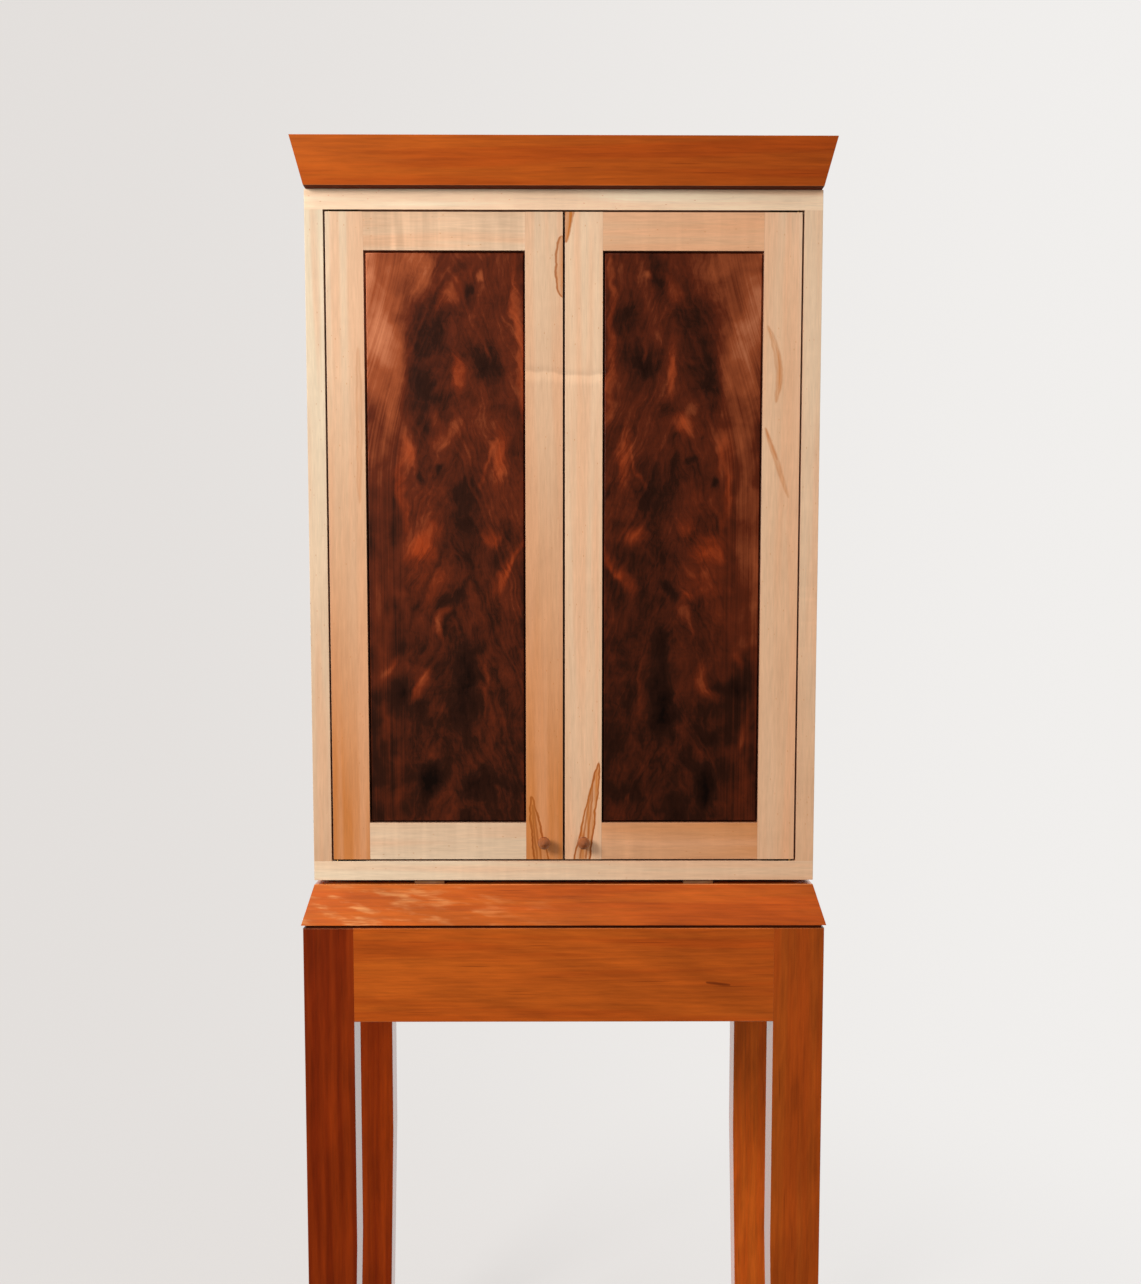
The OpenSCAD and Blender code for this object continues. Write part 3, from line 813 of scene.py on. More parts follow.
    def marked(self, bench: BoardBench, figure: Figure, colour: Socket) -> Socket:
        """Adds painted sheen, dashes, flecks, wear and painted highlight on edges, and painted shade on
        sides and undersides.

        Args:
            bench: The board's shader.
            figure: Its plain figure.
            colour: The colour so far.

        Returns:
            The colour with the marks.
        """
        # Painted sheen where the figure catches the light
        if self.glow:
            lively = 0.7 + (figure.streaky + figure.fibre) * 1.6
            colour = bench.blend(self.painted_sheen(bench) * lively * self.glow, colour, self.shine)
        if self.dashes:
            dash = bench.spots((10, 420, 420), size=0.28, share=self.dashes)
            colour = bench.blend(dash * self.dash_depth, colour, self.line)
        if self.flecks:
            fleck = bench.spots((110, 300, 300), size=0.15, share=self.flecks)
            colour = bench.blend(fleck * self.fleck_depth, colour, self.heart)
        # Rounded edges turn lighter: wear, and a painted highlight
        colour = bench.blend(bench.edge * (1 - bench.under) * self.edge_wear_and_highlight, colour, self.shine)
        # Narrow sides in the door gaps get painted shade in the line colour
        if bench.cut.flank:
            colour = bench.blend(bench.flank * bench.cut.flank, colour, self.line)
        # Undersides get painted shade in the line colour
        return bench.blend(bench.under * self.under_shade_share, colour, self.line)

    @staticmethod
    def curl_bar(bench: BoardBench, place: float) -> Wire:
        """A single pale bar of curl with a soft shadow along it.

        Args:
            bench: The board's shader.
            place: Where it crosses the board, along from its middle.

        Returns:
            What it adds to the lightness.
        """
        uneven = bench.sway((20, 60, 60)) * 0.008
        off = bench.along - place + uneven
        pale = off.fade(-0.01, -0.002) * off.fade(0.005, 0.001)
        shadow = off.fade(0.001, 0.004) * off.fade(0.012, 0.005)
        return pale * 0.13 - shadow * 0.08

    @staticmethod
    def curl(bench: BoardBench) -> Wire:
        """Curly figure: soft, uneven bars across the grain, strong in patches.

        Args:
            bench: The board's shader.

        Returns:
            What it adds to the lightness at full strength.
        """
        bars = bench.noise((85, 8, 8)).fade(0.46, 0.7)
        fine = bench.noise((230, 14, 14)).fade(0.4, 0.7)
        patch = bench.noise((6, 9, 9)).fade(0.38, 0.6)
        return (bars * 0.7 + fine * 0.3 - 0.2) * (0.25 + 0.75 * patch)

    @staticmethod
    def painted_sheen(bench: BoardBench) -> Wire:
        """Patches of painted sheen, lying aslant over the grain and fading out towards the head end."""
        patch = bench.noise((28, 110, 40), detail=4, where=bench.slanted).fade(0.48, 0.7)
        return patch * (bench.along / bench.cut.sheen_reach).fade(0.2, -1.0)


CHERRY = Timber(
    slot="cherry", pale=srgb(212, 102, 25), deep=srgb(136, 42, 3), line=srgb(98, 30, 2),
    heart=srgb(84, 27, 4), shine=srgb(236, 150, 92), tone=srgb(182, 68, 8), ring=0.0052,
    line_share=0.08, band=0.45, mottle=0.7, grain=0.6, under_shade_share=0.8, dashes=0.16, lacquer=0.9,
)
MAPLE = Timber(
    slot="maple", pale=srgb(246, 225, 193), deep=srgb(213, 132, 70), line=srgb(140, 52, 8),
    heart=srgb(200, 118, 48), shine=srgb(252, 232, 206), tone=srgb(238, 174, 130), ring=0.0036,
    line_share=0.02, band=0.45, mottle=0.14, grain=0.2, ripple=0.14, flecks=0.3, lacquer=0.2,
)
# For the strips that sit back in the gap under the stand top; their dark colour is partly painted shade
SHADE_DARK_WALNUT = Timber(
    slot="dark_walnut", pale=srgb(112, 44, 16), deep=srgb(74, 26, 9), line=srgb(22, 9, 5),
    heart=srgb(22, 9, 5), shine=srgb(96, 56, 38), tone=srgb(58, 28, 16), ring=0.003, rough=0.5,
    lacquer=0.0,
)
KNOB_WOOD = Timber(
    slot="knob_wood", pale=srgb(156, 66, 10), deep=srgb(110, 36, 2), line=srgb(84, 34, 12),
    heart=srgb(84, 34, 12), shine=srgb(206, 134, 84), tone=srgb(150, 66, 26), ring=0.0022,
    line_share=0.3, rough=0.34, gloss=0.1, lacquer=1.0,
)


@dataclass(frozen=True)
class Blot:
    """One soft patch of the crotch figure.

    Attributes:
        across: Its distance from the hinge side of the panel.
        down: Its distance below the top of the panel.
        wide: Half its width.
        tall: Half its height.
        turn: Degrees that its top leans away from the hinge side.
        value: What it adds to the lightness, from dark -1 to light 1.
        flame: What it adds to the orange flame.
    """

    across: float
    down: float
    wide: float
    tall: float
    turn: float = 0.0
    value: float = 0.0
    flame: float = 0.0


def blots(*rows: tuple[float, ...]) -> tuple[Blot, ...]:
    """Blots from rows of their fields, with the lengths in millimetres."""
    return tuple(Blot(*(size / 1000 for size in row[:4]), *row[4:]) for row in rows)


# Across, down, half width, half height, turn, lightness, flame
CROTCH_FIGURE = blots(
    # The first patch, the light band at the top of the hinge side, is partly straight grain and partly
    # painted sheen
    (10, 60, 32, 150, 9, 0.7),
    (46, 8, 26, 40, 24, 0.34),
    (8, 190, 16, 60, 0, 0.10),
    (14, 300, 18, 110, 0, -0.04),
    (10, 380, 18, 70, 0, 0.14),
    (70, 78, 30, 58, 0, -0.20),
    (56, 140, 20, 36, 6, -0.26),
    (92, 38, 9, 34, -38, 0.26, 0.2),
    (106, 26, 15, 28, -8, -0.30),
    (118, 22, 5, 6, -20, 0.36),
    (140, 48, 22, 44, 0, -0.12),
    (160, 90, 5, 100, 1, 0.22, 0.45),
    (127, 116, 26, 30, 0, -0.30),
    (126, 104, 3, 12, 14, 0.20),
    (95, 124, 6, 30, 6, 0.22, 0.55),
    (74, 166, 6, 12, 14, 0.30),
    (84, 184, 24, 12, 14, 0.20, 0.12),
    (42, 204, 9, 24, 6, 0.20, 0.45),
    (36, 250, 6, 46, 3, 0.16, 0.5),
    (141, 210, 9, 36, -3, 0.16, 0.55),
    (128, 216, 2.5, 34, -20, 0.16, 0.3),
    (106, 244, 22, 44, 0, -0.20),
    (52, 232, 5, 8, 0, -0.24),
    (74, 218, 5, 7, 20, -0.20),
    (60, 262, 18, 34, -14, 0.08, 0.1),
    (56, 304, 17, 20, 12, 0.20, 0.95),
    (72, 284, 12, 16, -30, 0.10, 0.4),
    (130, 296, 14, 14, -20, 0.16, 0.5),
    (142, 334, 8, 30, -32, 0.18, 0.45),
    (154, 320, 4, 30, -30, 0.14, 0.4),
    (66, 342, 22, 26, 0, 0.10, 0.25),
    (90, 356, 7, 28, -40, -0.24),
    (80, 372, 6, 15, -28, 0.30, 0.1),
    (75, 392, 2.5, 18, -4, 0.24, 0.1),
    (102, 444, 16, 66, 0, -0.34),
    (24, 424, 6, 18, -30, 0.18, 0.2),
    (30, 452, 24, 13, 10, -0.18),
    (60, 446, 8, 20, -16, 0.28, 0.25),
    (52, 462, 12, 7, 50, 0.18, 0.2),
    (124, 448, 2.5, 40, -3, 0.18),
    (20, 500, 5, 30, 10, 0.18, 0.1),
    (26, 560, 20, 34, 10, 0.12, 0.1),
    (66, 520, 3, 14, -24, 0.16),
    (62, 553, 13, 23, -6, -0.42),
    (112, 560, 46, 26, 0, -0.10),
    (136, 566, 5, 8, 20, 0.16, 0.1),
    (150, 546, 8, 6, 0, 0.10),
)


@dataclass(frozen=True)
class CrotchGrain:
    """The finer figure of a crotch panel.

    Attributes:
        band: One on the straight band at the hinge side, and zero in the plume.
        broad_lines: Broad straight lines, about zero.
        fine_lines: Fine straight lines, about zero.
        strands: Strands that sweep with the plume, about zero.
        hairs: Fine lines that sweep with the plume, about zero.
        grit: Small uneven specks, about zero.
        mottle: Soft mottling, about zero.
        cloud: Large clouds, about zero.
        ripple: Fine ripples across the panel, about zero.
    """

    band: Wire
    broad_lines: Wire
    fine_lines: Wire
    strands: Wire
    hairs: Wire
    grit: Wire
    mottle: Wire
    cloud: Wire
    ripple: Wire


@dataclass(frozen=True)
class Crotch:
    """Walnut sawn through a crotch: a dark plume between reddish straight bands.

    Attributes:
        slot: Name of the finish in the record.
        stops: Colours of the wood from its darkest to its lightest.
        ember: Colour of the flame.
        figure: Soft patches that both panels share.
        own: Patches of this panel alone.
        seed: Picks the finer figure.
        light: Lightness of the panel.
    """

    slot: str = "crotch_walnut"
    stops: tuple[tuple[float, Colour], ...] = (
        (0.0, srgb(20, 9, 5)), (0.22, srgb(50, 22, 11)), (0.45, srgb(97, 37, 15)),
        (0.7, srgb(154, 74, 38)), (1.0, srgb(204, 124, 84)),
    )
    ember: Colour = srgb(178, 60, 8)
    figure: tuple[Blot, ...] = CROTCH_FIGURE
    own: tuple[Blot, ...] = ()
    seed: int = 5
    light: float = 1.0

    # The straight band: where it ends across the panel, and how far it leans
    band_edge = (0.05, 0.028)
    band_lean = 0.06

    # The plume: where its middle lies, and how steeply its lines fall on both sides
    plume_middle = 0.088
    plume_slope = 1.9
    plume_bow = 9

    # Features a metre and reach of each pull, from the broadest to the finest
    warps = (((12, 15, 10), 0.03), ((42, 52, 40), 0.015), ((130, 160, 90), 0.003))

    # Value at the top of the panel, what it loses a metre down, the share of a patch's
    # own value that counts, and the painted highlight on rounded edges
    middle_value = 0.43
    fall = 0.3
    blot_share = 0.7
    painted_edge_highlight = 1.1

    # The oiled finish, the pores, and how much of the flame's colour may show
    rough = 0.32
    gloss = 0.14
    pore_share = 0.35
    pore_depth = 0.3
    most_flame = 0.5

    def material(self, name: str, corner: Vector, side: Side) -> Material:
        """Makes the material of one panel.

        Args:
            name: Name of the material.
            corner: Top corner of the panel at its hinge side.
            side: Side of its door; the right panel mirrors the left one.

        Returns:
            The material.
        """
        cut = Cut(Way.DOWN, Way.FRONT, self.seed)
        bench = BoardBench(name, corner, cut, mirrored=side is Side.RIGHT)
        warped = self.warp(bench)
        grain = self.grain(bench, warped)
        value, flame = self.blotted(bench, warped)
        value = self.lined(grain, value)
        wood = bench.node("ShaderNodeValToRGB", {"stops": self.stops}, {0: value}).outputs[0]
        broken = 0.75 + grain.strands * 1.6 + grain.mottle * 1.4
        glow = flame * broken * value.fade(0.15, 0.6)
        colour = bench.blend((glow * 0.7).least(self.most_flame), wood, self.ember)
        pore = bench.spots((160, 900, 900), size=0.25, share=self.pore_share)
        colour = bench.blend(pore * self.pore_depth, colour, self.stops[0][1])
        # Rounded edges get a painted highlight
        light = self.light + bench.edge * self.painted_edge_highlight
        look = {
            "Base Color": bench.vector("SCALE", {0: colour, "Scale": light}),
            "Roughness": self.rough + grain.mottle * 0.06 + grain.fine_lines * 0.05,
            "Specular IOR Level": self.gloss,
        }
        height = 0.5 + (grain.fine_lines + grain.hairs - pore) * 0.3
        return bench.surface(look, height, WOOD_RELIEF)

    def warp(self, bench: BoardBench) -> Socket:
        """Pulls the panel's coordinates about, so that no patch has a plain outline.

        Args:
            bench: The panel's shader.

        Returns:
            The pulled coordinates.
        """
        place = bench.grain
        for stretch, reach in self.warps:
            noise = bench.noise_node(stretch, 1.0, bench.grain)
            pull = bench.vector("SUBTRACT", {0: noise.outputs[1], 1: (0.5, 0.5, 0.5)})
            place = bench.vector("MULTIPLY_ADD", {0: pull, 1: (reach, reach * 0.8, 0), 2: place})
        return place

    def grain(self, bench: BoardBench, warped: Socket) -> CrotchGrain:
        """Makes the finer figure of one panel.

        Args:
            bench: The panel's shader.
            warped: Its pulled coordinates.

        Returns:
            The figure, drawn from the panel's seed in the order of its fields.
        """
        down, across = bench.along, bench.across
        lean = down.fade(-0.04, 0.24) * self.band_lean
        straight = bench.join(down, across + lean, bench.out)
        plume = self.plume(bench, warped)
        return CrotchGrain(
            band=across.fade(*self.band_edge),
            broad_lines=bench.sway((5, 130, 60), detail=3, where=straight),
            fine_lines=bench.sway((12, 620, 200), detail=1, where=straight),
            strands=bench.sway((3.2, 82, 40), detail=4, where=plume),
            hairs=bench.sway((14, 520, 120), detail=3, where=plume),
            grit=bench.sway((110, 300, 160), detail=3, where=warped),
            mottle=bench.sway((34, 46, 30), detail=5, where=warped),
            cloud=bench.sway((12, 18, 16), detail=2, where=warped),
            ripple=bench.sway((330, 30, 60), detail=1, where=warped),
        )

    def plume(self, bench: BoardBench, warped: Socket) -> Socket:
        """Makes lines sweep from the middle of the plume down to its edges.

        Args:
            bench: The panel's shader.
            warped: Its pulled coordinates.

        Returns:
            Coordinates that follow those lines.
        """
        down, across, out = bench.split(warped)
        off = across - self.plume_middle
        sweep = off * off * self.plume_bow + abs(off) * self.plume_slope
        return bench.join(across, down - sweep, out)

    def blotted(self, bench: BoardBench, warped: Socket) -> tuple[Wire, Number]:
        """Adds up the soft patches.

        Args:
            bench: The panel's shader.
            warped: Its pulled coordinates.

        Returns:
            The lightness and the flame that the patches make.
        """
        value = self.middle_value - bench.along * self.fall
        flame: Number = 0.0
        for blot in self.figure + self.own:
            mask = self.patch(bench, blot, warped)
            value = value + mask * (blot.value * self.blot_share) if blot.value else value
            flame = flame + mask * blot.flame if blot.flame else flame
        return value, flame

    @staticmethod
    def patch(bench: BoardBench, blot: Blot, warped: Socket) -> Wire:
        """The mask of one soft patch.

        Args:
            bench: The panel's shader.
            blot: The patch.
            warped: The panel's pulled coordinates.

        Returns:
            One in the middle of the patch and zero past its edge.
        """
        placing = {"Vector": warped, "Location": (blot.down, blot.across, 0),
                   "Rotation": (0, 0, math.radians(blot.turn)), "Scale": (blot.tall, blot.wide, 1)}
        placed = bench.node("ShaderNodeMapping", {"vector_type": "TEXTURE"}, placing)
        flat = bench.vector("MULTIPLY", {0: placed.outputs[0], 1: (1, 1, 0)})
        return bench.measure("LENGTH", {0: flat}).fade(1.3, 0.1)

    @staticmethod
    def lined(grain: CrotchGrain, value: Wire) -> Wire:
        """Adds the finer figure to the lightness.

        Args:
            grain: The finer figure.
            value: The lightness so far.

        Returns:
            The whole lightness.
        """
        inner = 1 - grain.band
        lines = grain.broad_lines * 0.3 + grain.fine_lines * 0.24
        value = value + lines * (0.2 + 0.8 * grain.band)
        lively = value.fade(0.05, 0.45) * 0.75 + 0.25
        strands = grain.strands * (0.34 + grain.cloud * 0.7) + grain.hairs * 0.12
        value = value + strands * inner * lively + grain.mottle * 0.5 + grain.cloud * 0.26
        return value + (grain.ripple * 0.06 + grain.grit * 0.2) * inner


@dataclass(frozen=True)
class Metal:
    """A plain metal with fine scratches and a little tarnish.

    Attributes:
        slot: Name of the finish in the record.
        bright: Colour where it is clean.
        dull: Colour where it has tarnished.
        rough: Roughness of the clean metal.
    """

    slot: str
    bright: Colour
    dull: Colour
    rough: float

    figure_seed = 77
    scratch_depth = 0.00004

    def material(self) -> Material:
        """Makes the material, which all pieces of this metal share.

        Returns:
            The material.
        """
        bench = BoardBench(self.slot, Vector(), Cut(Way.RIGHT, Way.FRONT, self.figure_seed))
        tarnish = bench.noise((120, 120, 120), detail=3).fade(0.45, 0.75)
        scratch = bench.sway((300, 4000, 4000))
        look = {
            "Base Color": bench.blend(tarnish, self.bright, self.dull),
            "Metallic": 1.0,
            "Roughness": self.rough + tarnish * 0.25 + scratch * 0.1,
        }
        return bench.surface(look, scratch, self.scratch_depth, strength=0.3)


BRASS = Metal("brass", bright=srgb(205, 168, 98), dull=srgb(140, 104, 56), rough=0.28)
STEEL = Metal("steel", bright=srgb(182, 182, 178), dull=srgb(110, 108, 104), rough=0.32)


# Shapes


@dataclass(frozen=True)
class Ease:
    """How far the edges of a board are rounded.

    Attributes:
        bare: Rounding of edges that stand free.
        joint: Rounding of edges that meet another board.
        splits: Heights at which a long edge passes from one kind to the other.
    """

    bare: float = 0.0004
    joint: float = 0.0001
    splits: tuple[float, ...] = ()


def merge_doubles(shape: BMesh) -> None:
    """Joins the points of a shape that lie in the same place."""
    bmesh.ops.remove_doubles(shape, verts=shape.verts, dist=SAME_PLACE)


class Workshop:
    """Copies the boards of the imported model, eases their edges and hands them over.

    Attributes:
        shortest_edge: Length below which an edge stays sharp.
        least_angle: Angle between two faces below which their edge stays as it is.
        flat_angle: Angle below which two faces count as one.
        bevel_steps: How many faces go round an eased edge.
        near: Distance within which a point touches another node's box.
    """

    shortest_edge = 0.006
    least_angle = math.radians(20)
    flat_angle = 0.01
    bevel_steps = 3
    near = 0.0004

    def __init__(self, frame: Mapping[str, Mapping[str, Object]]) -> None:
        """Notes where every node lies.
        """
        self.nodes = frame["nodes"]
        self.boxes = {name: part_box(name) for name in self.nodes}
        self.metals = {metal.slot: metal.material() for metal in (BRASS, STEEL)}

    def at_joint(self, node: str, point: Vector) -> bool:
        """Whether a point on a node touches another node of its body.

        Args:
            node: The node.
            point: The point.

        Returns:
            True where another node's box holds the point.
        """
        body = self.nodes[node]["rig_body"]
        for name, (low, high) in self.boxes.items():
            if name == node or self.nodes[name]["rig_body"] != body:
                continue
            if all(low[i] - self.near <= point[i] <= high[i] + self.near for i in range(3)):
                return True
        return False

    def merged_copy(self, node: str) -> BMesh:
        """A copy of the node's mesh with its doubles merged.

        Args:
            node: The node.

        Returns:
            The copy, for the caller to free.
        """
        shape = bmesh.new()
        shape.from_mesh(self.nodes[node].data)
        merge_doubles(shape)
        return shape

    def plain_copy(self, node: str) -> BMesh:
        """A merged copy of the node's mesh with its flat faces made whole.

        Args:
            node: The node.

        Returns:
            The copy, for the caller to free.
        """
        shape = self.merged_copy(node)
        bmesh.ops.dissolve_limit(shape, angle_limit=self.flat_angle, verts=shape.verts, edges=shape.edges)
        return shape

    def eased(self, node: str, shape: BMesh, ease: Ease) -> Mesh:
        """Rounds the edges of a board.

        Args:
            node: The node that the board stands for.
            shape: Its plain shape, which is freed.
            ease: How far the edges are rounded.

        Returns:
            The finished mesh.
        """
        for height in ease.splits:
            geometry = [*shape.verts, *shape.edges, *shape.faces]
            bmesh.ops.bisect_plane(shape, geom=geometry, plane_co=(0, 0, height), plane_no=(0, 0, 1))
        layer = shape.edges.layers.float.new("bevel_weight_edge")
        for edge in shape.edges:
            angle = edge.calc_face_angle(0)
            if angle < self.least_angle:
                continue
            if edge.calc_length() < self.shortest_edge or not edge.is_convex:
                edge.smooth = False
                continue
            middle = (edge.verts[0].co + edge.verts[1].co) / 2
            edge[layer] = ease.joint / ease.bare if self.at_joint(node, middle) else 1.0
        mesh = bpy.data.meshes.new(node)
        for face in shape.faces:
            face.smooth = True
        shape.to_mesh(mesh)
        shape.free()
        carrier = linked(f"{node}_carrier", mesh)
        bevel = carrier.modifiers.new("ease", "BEVEL")
        bevel.limit_method = "WEIGHT"
        bevel.width = ease.bare
        bevel.segments = self.bevel_steps
        bevel.use_clamp_overlap = False
        rounded = converted(carrier)
        shade_flat_faces(rounded)
        return rounded

    def board(self, node: str, timber: Timber, cut: Cut, ease: Ease = Ease()) -> Object:
        """Dresses one board that keeps the shape of its node.

        Args:
            node: The node.
            timber: What it is made of.
            cut: How it was sawn.
            ease: How far its edges are rounded.

        Returns:
            The finished piece.
        """
        mesh = self.eased(node, self.plain_copy(node), ease)
        material = timber.material(f"{timber.slot} of {node}", self.boxes[node], cut)
        return self.hand_over(node, mesh, material, timber.slot)

    def hand_over(self, node: str, mesh: Mesh, material: Material, slot: str) -> Object:
        """Puts a finished mesh in the place of its node.

        Args:
            node: The node that the piece stands for.
            mesh: The finished mesh.
            material: Its material.
            slot: Its finish in the record; not used.

        Returns:
            The piece.
        """
        mesh.materials.clear()
        mesh.materials.append(material)
        piece = linked(f"{node}_piece", mesh)
        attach(piece, self.nodes[node]["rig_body"])
        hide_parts(node)
        return piece

    def framed_panel(self, name: str, timber: Timber, look: Cut, edge: Ease) -> Pieces:
        """Dresses a frame of four mitred members and the panel in it.

        Args:
            name: What the names of its nodes begin with.
            timber: What it is made of.
            look: How its boards were sawn, with the seed of the first.
            edge: How far their edges are rounded.

        Returns:
            The finished pieces.
        """
        pieces = []
        for index, (part, along, out) in enumerate((*FOUR_SIDES, ("panel", Way.RIGHT, Way.UP))):
            cut = replace(look, along=along, out=out, seed=look.seed + index)
            pieces.append(self.board(f"{name}_{part}", timber, cut, edge))
        return pieces

    def coat(self, node: str, metal: Metal) -> Object:
        """Gives a node that keeps its own shape a better material.

        Args:
            node: The node.
            metal: What it is made of.

        Returns:
            The node's own object.
        """
        for slot in self.nodes[node].material_slots:
            slot.material = self.metals[metal.slot]
        return self.nodes[node]

    def solids(self, node: str) -> list[list[Vector]]:
        """The points of each separate solid of a node.

        Args:
            node: The node.

        Returns:
            One list of points for each solid, in the order of their middles.
        """
        shape = self.merged_copy(node)
        left = set(shape.verts)
        groups = []
        while left:
            edge_of_group = [left.pop()]
            group = []
            while edge_of_group:
                vert = edge_of_group.pop()
                group.append(vert.co.copy())
                linked = {edge.other_vert(vert) for edge in vert.link_edges} & left
                left -= linked
                edge_of_group.extend(linked)
            groups.append(group)
        shape.free()
        return sorted(groups, key=lambda group: tuple(round(x, 4) for x in group_centre(group)))


def group_centre(points: Sequence[Vector]) -> Vector:
    """The middle of the box round some points."""
    low, high = group_box(points)
    return (low + high) / 2


def group_box(points: Sequence[Vector]) -> Box:
    """The box round some points.

    Args:
        points: The points.

    Returns:
        Its low and its high corner.
    """
    low = Vector([min(point[i] for point in points) for i in range(3)])
    high = Vector([max(point[i] for point in points) for i in range(3)])
    return low, high


def shade_flat_faces(mesh: Mesh) -> None:
    """Lets light turn on the rounded edges only, and leaves the large faces flat.

    Args:
        mesh: The mesh, which gets a normal of its own in each corner.
    """
    around: list[list[bpy.types.MeshPolygon]] = [[] for _ in mesh.vertices]
    for face in mesh.polygons:
        for index in face.vertices:
            around[index].append(face)
    normals = []
    for face in mesh.polygons:
        for index in face.vertices:
            near = [other for other in around[index] if other.normal.dot(face.normal) > SAME_SIDE]
            normals.append(sum((other.normal * other.area for other in near), Vector()).normalized())
    mesh.normals_split_custom_set(normals)


def converted(carrier: Object) -> Mesh:
    """Applies the modifiers of an object and takes it away.

    Args:
        carrier: The object.

    Returns:
        Its evaluated mesh.
    """
    bpy.context.view_layer.update()
    depsgraph = bpy.context.evaluated_depsgraph_get()
    mesh = bpy.data.meshes.new_from_object(
        carrier.evaluated_get(depsgraph), preserve_all_data_layers=True, depsgraph=depsgraph)
    carrier.modifiers.clear()
    bpy.data.objects.remove(carrier)
    return mesh


class ShapeBench(Bench):
    """A Geometry Nodes tree with named sizes, ended in one plain mesh."""

    def __init__(self, name: str, sizes: Iterable[str]) -> None:
        """Makes the tree and its inputs.

        Args:
            name: Name of the tree.
            sizes: Names of its sizes.
        """
        super().__init__(bpy.data.node_groups.new(name, "GeometryNodeTree"))
        sockets = self.tree.interface
        sockets.new_socket("Geometry", in_out="INPUT", socket_type="NodeSocketGeometry")
        sockets.new_socket("Geometry", in_out="OUTPUT", socket_type="NodeSocketGeometry")
        self.inputs = {size: sockets.new_socket(size, in_out="INPUT", socket_type="NodeSocketFloat")
                       for size in sizes}
        self.inputs["Finish"] = sockets.new_socket("Finish", in_out="INPUT",
                                                   socket_type="NodeSocketMaterial")
        self.start = self.node("NodeGroupInput", {}, {})

    def size(self, name: str) -> Wire:
        """One of the tree's sizes."""
        return Wire(self, self.start.outputs[name])

    def shape(self, kind: str, settings: Settings, values: Values) -> Socket:
        """Adds a node and returns its first output; the arguments are those of node()."""
        return self.node(kind, settings, values).outputs[0]

    def moved(self, shape: Socket, place: Socket) -> Socket:
        """A shape moved by a vector."""
        return self.shape("GeometryNodeTransform", {}, {"Geometry": shape, "Translation": place})

    def minus(self, shape: Socket, *tools: Socket) -> Socket:
        """A shape with other shapes cut from it.

        Args:
            shape: The shape.
            *tools: The shapes that are cut from it.

        Returns:
            What is left of it.
        """
        node = self.node("GeometryNodeMeshBoolean", {"operation": "DIFFERENCE"}, {"Mesh 1": shape})
        for tool in tools:
            self.tree.links.new(tool, node.inputs["Mesh 2"])
        return node.outputs[0]

    def end(self, shape: Socket) -> None:
        """Ends the tree: instances become real and take the finish.

        Args:
            shape: The shape that the tree gives.
        """
        real = self.shape("GeometryNodeRealizeInstances", {}, {0: shape})
        values = {"Geometry": real, "Material": self.start.outputs["Finish"]}
        finished = self.shape("GeometryNodeSetMaterial", {}, values)
        self.node("NodeGroupOutput", {}, {0: finished})

    def run(self, sizes: Settings, places: Mesh | None = None) -> Mesh:
        """Runs the tree once.

        Args:
            sizes: Its sizes and its finish, by name.
            places: Mesh that goes in, or None where the tree needs none.

        Returns:
            The plain mesh that comes out.
        """
        carrier = linked("carrier", places or bpy.data.meshes.new("nothing"))
        modifier = carrier.modifiers.new("shape", "NODES")
        modifier.node_group = self.tree
        for name, value in sizes.items():
            modifier[self.inputs[name].identifier] = value
        return converted(carrier)


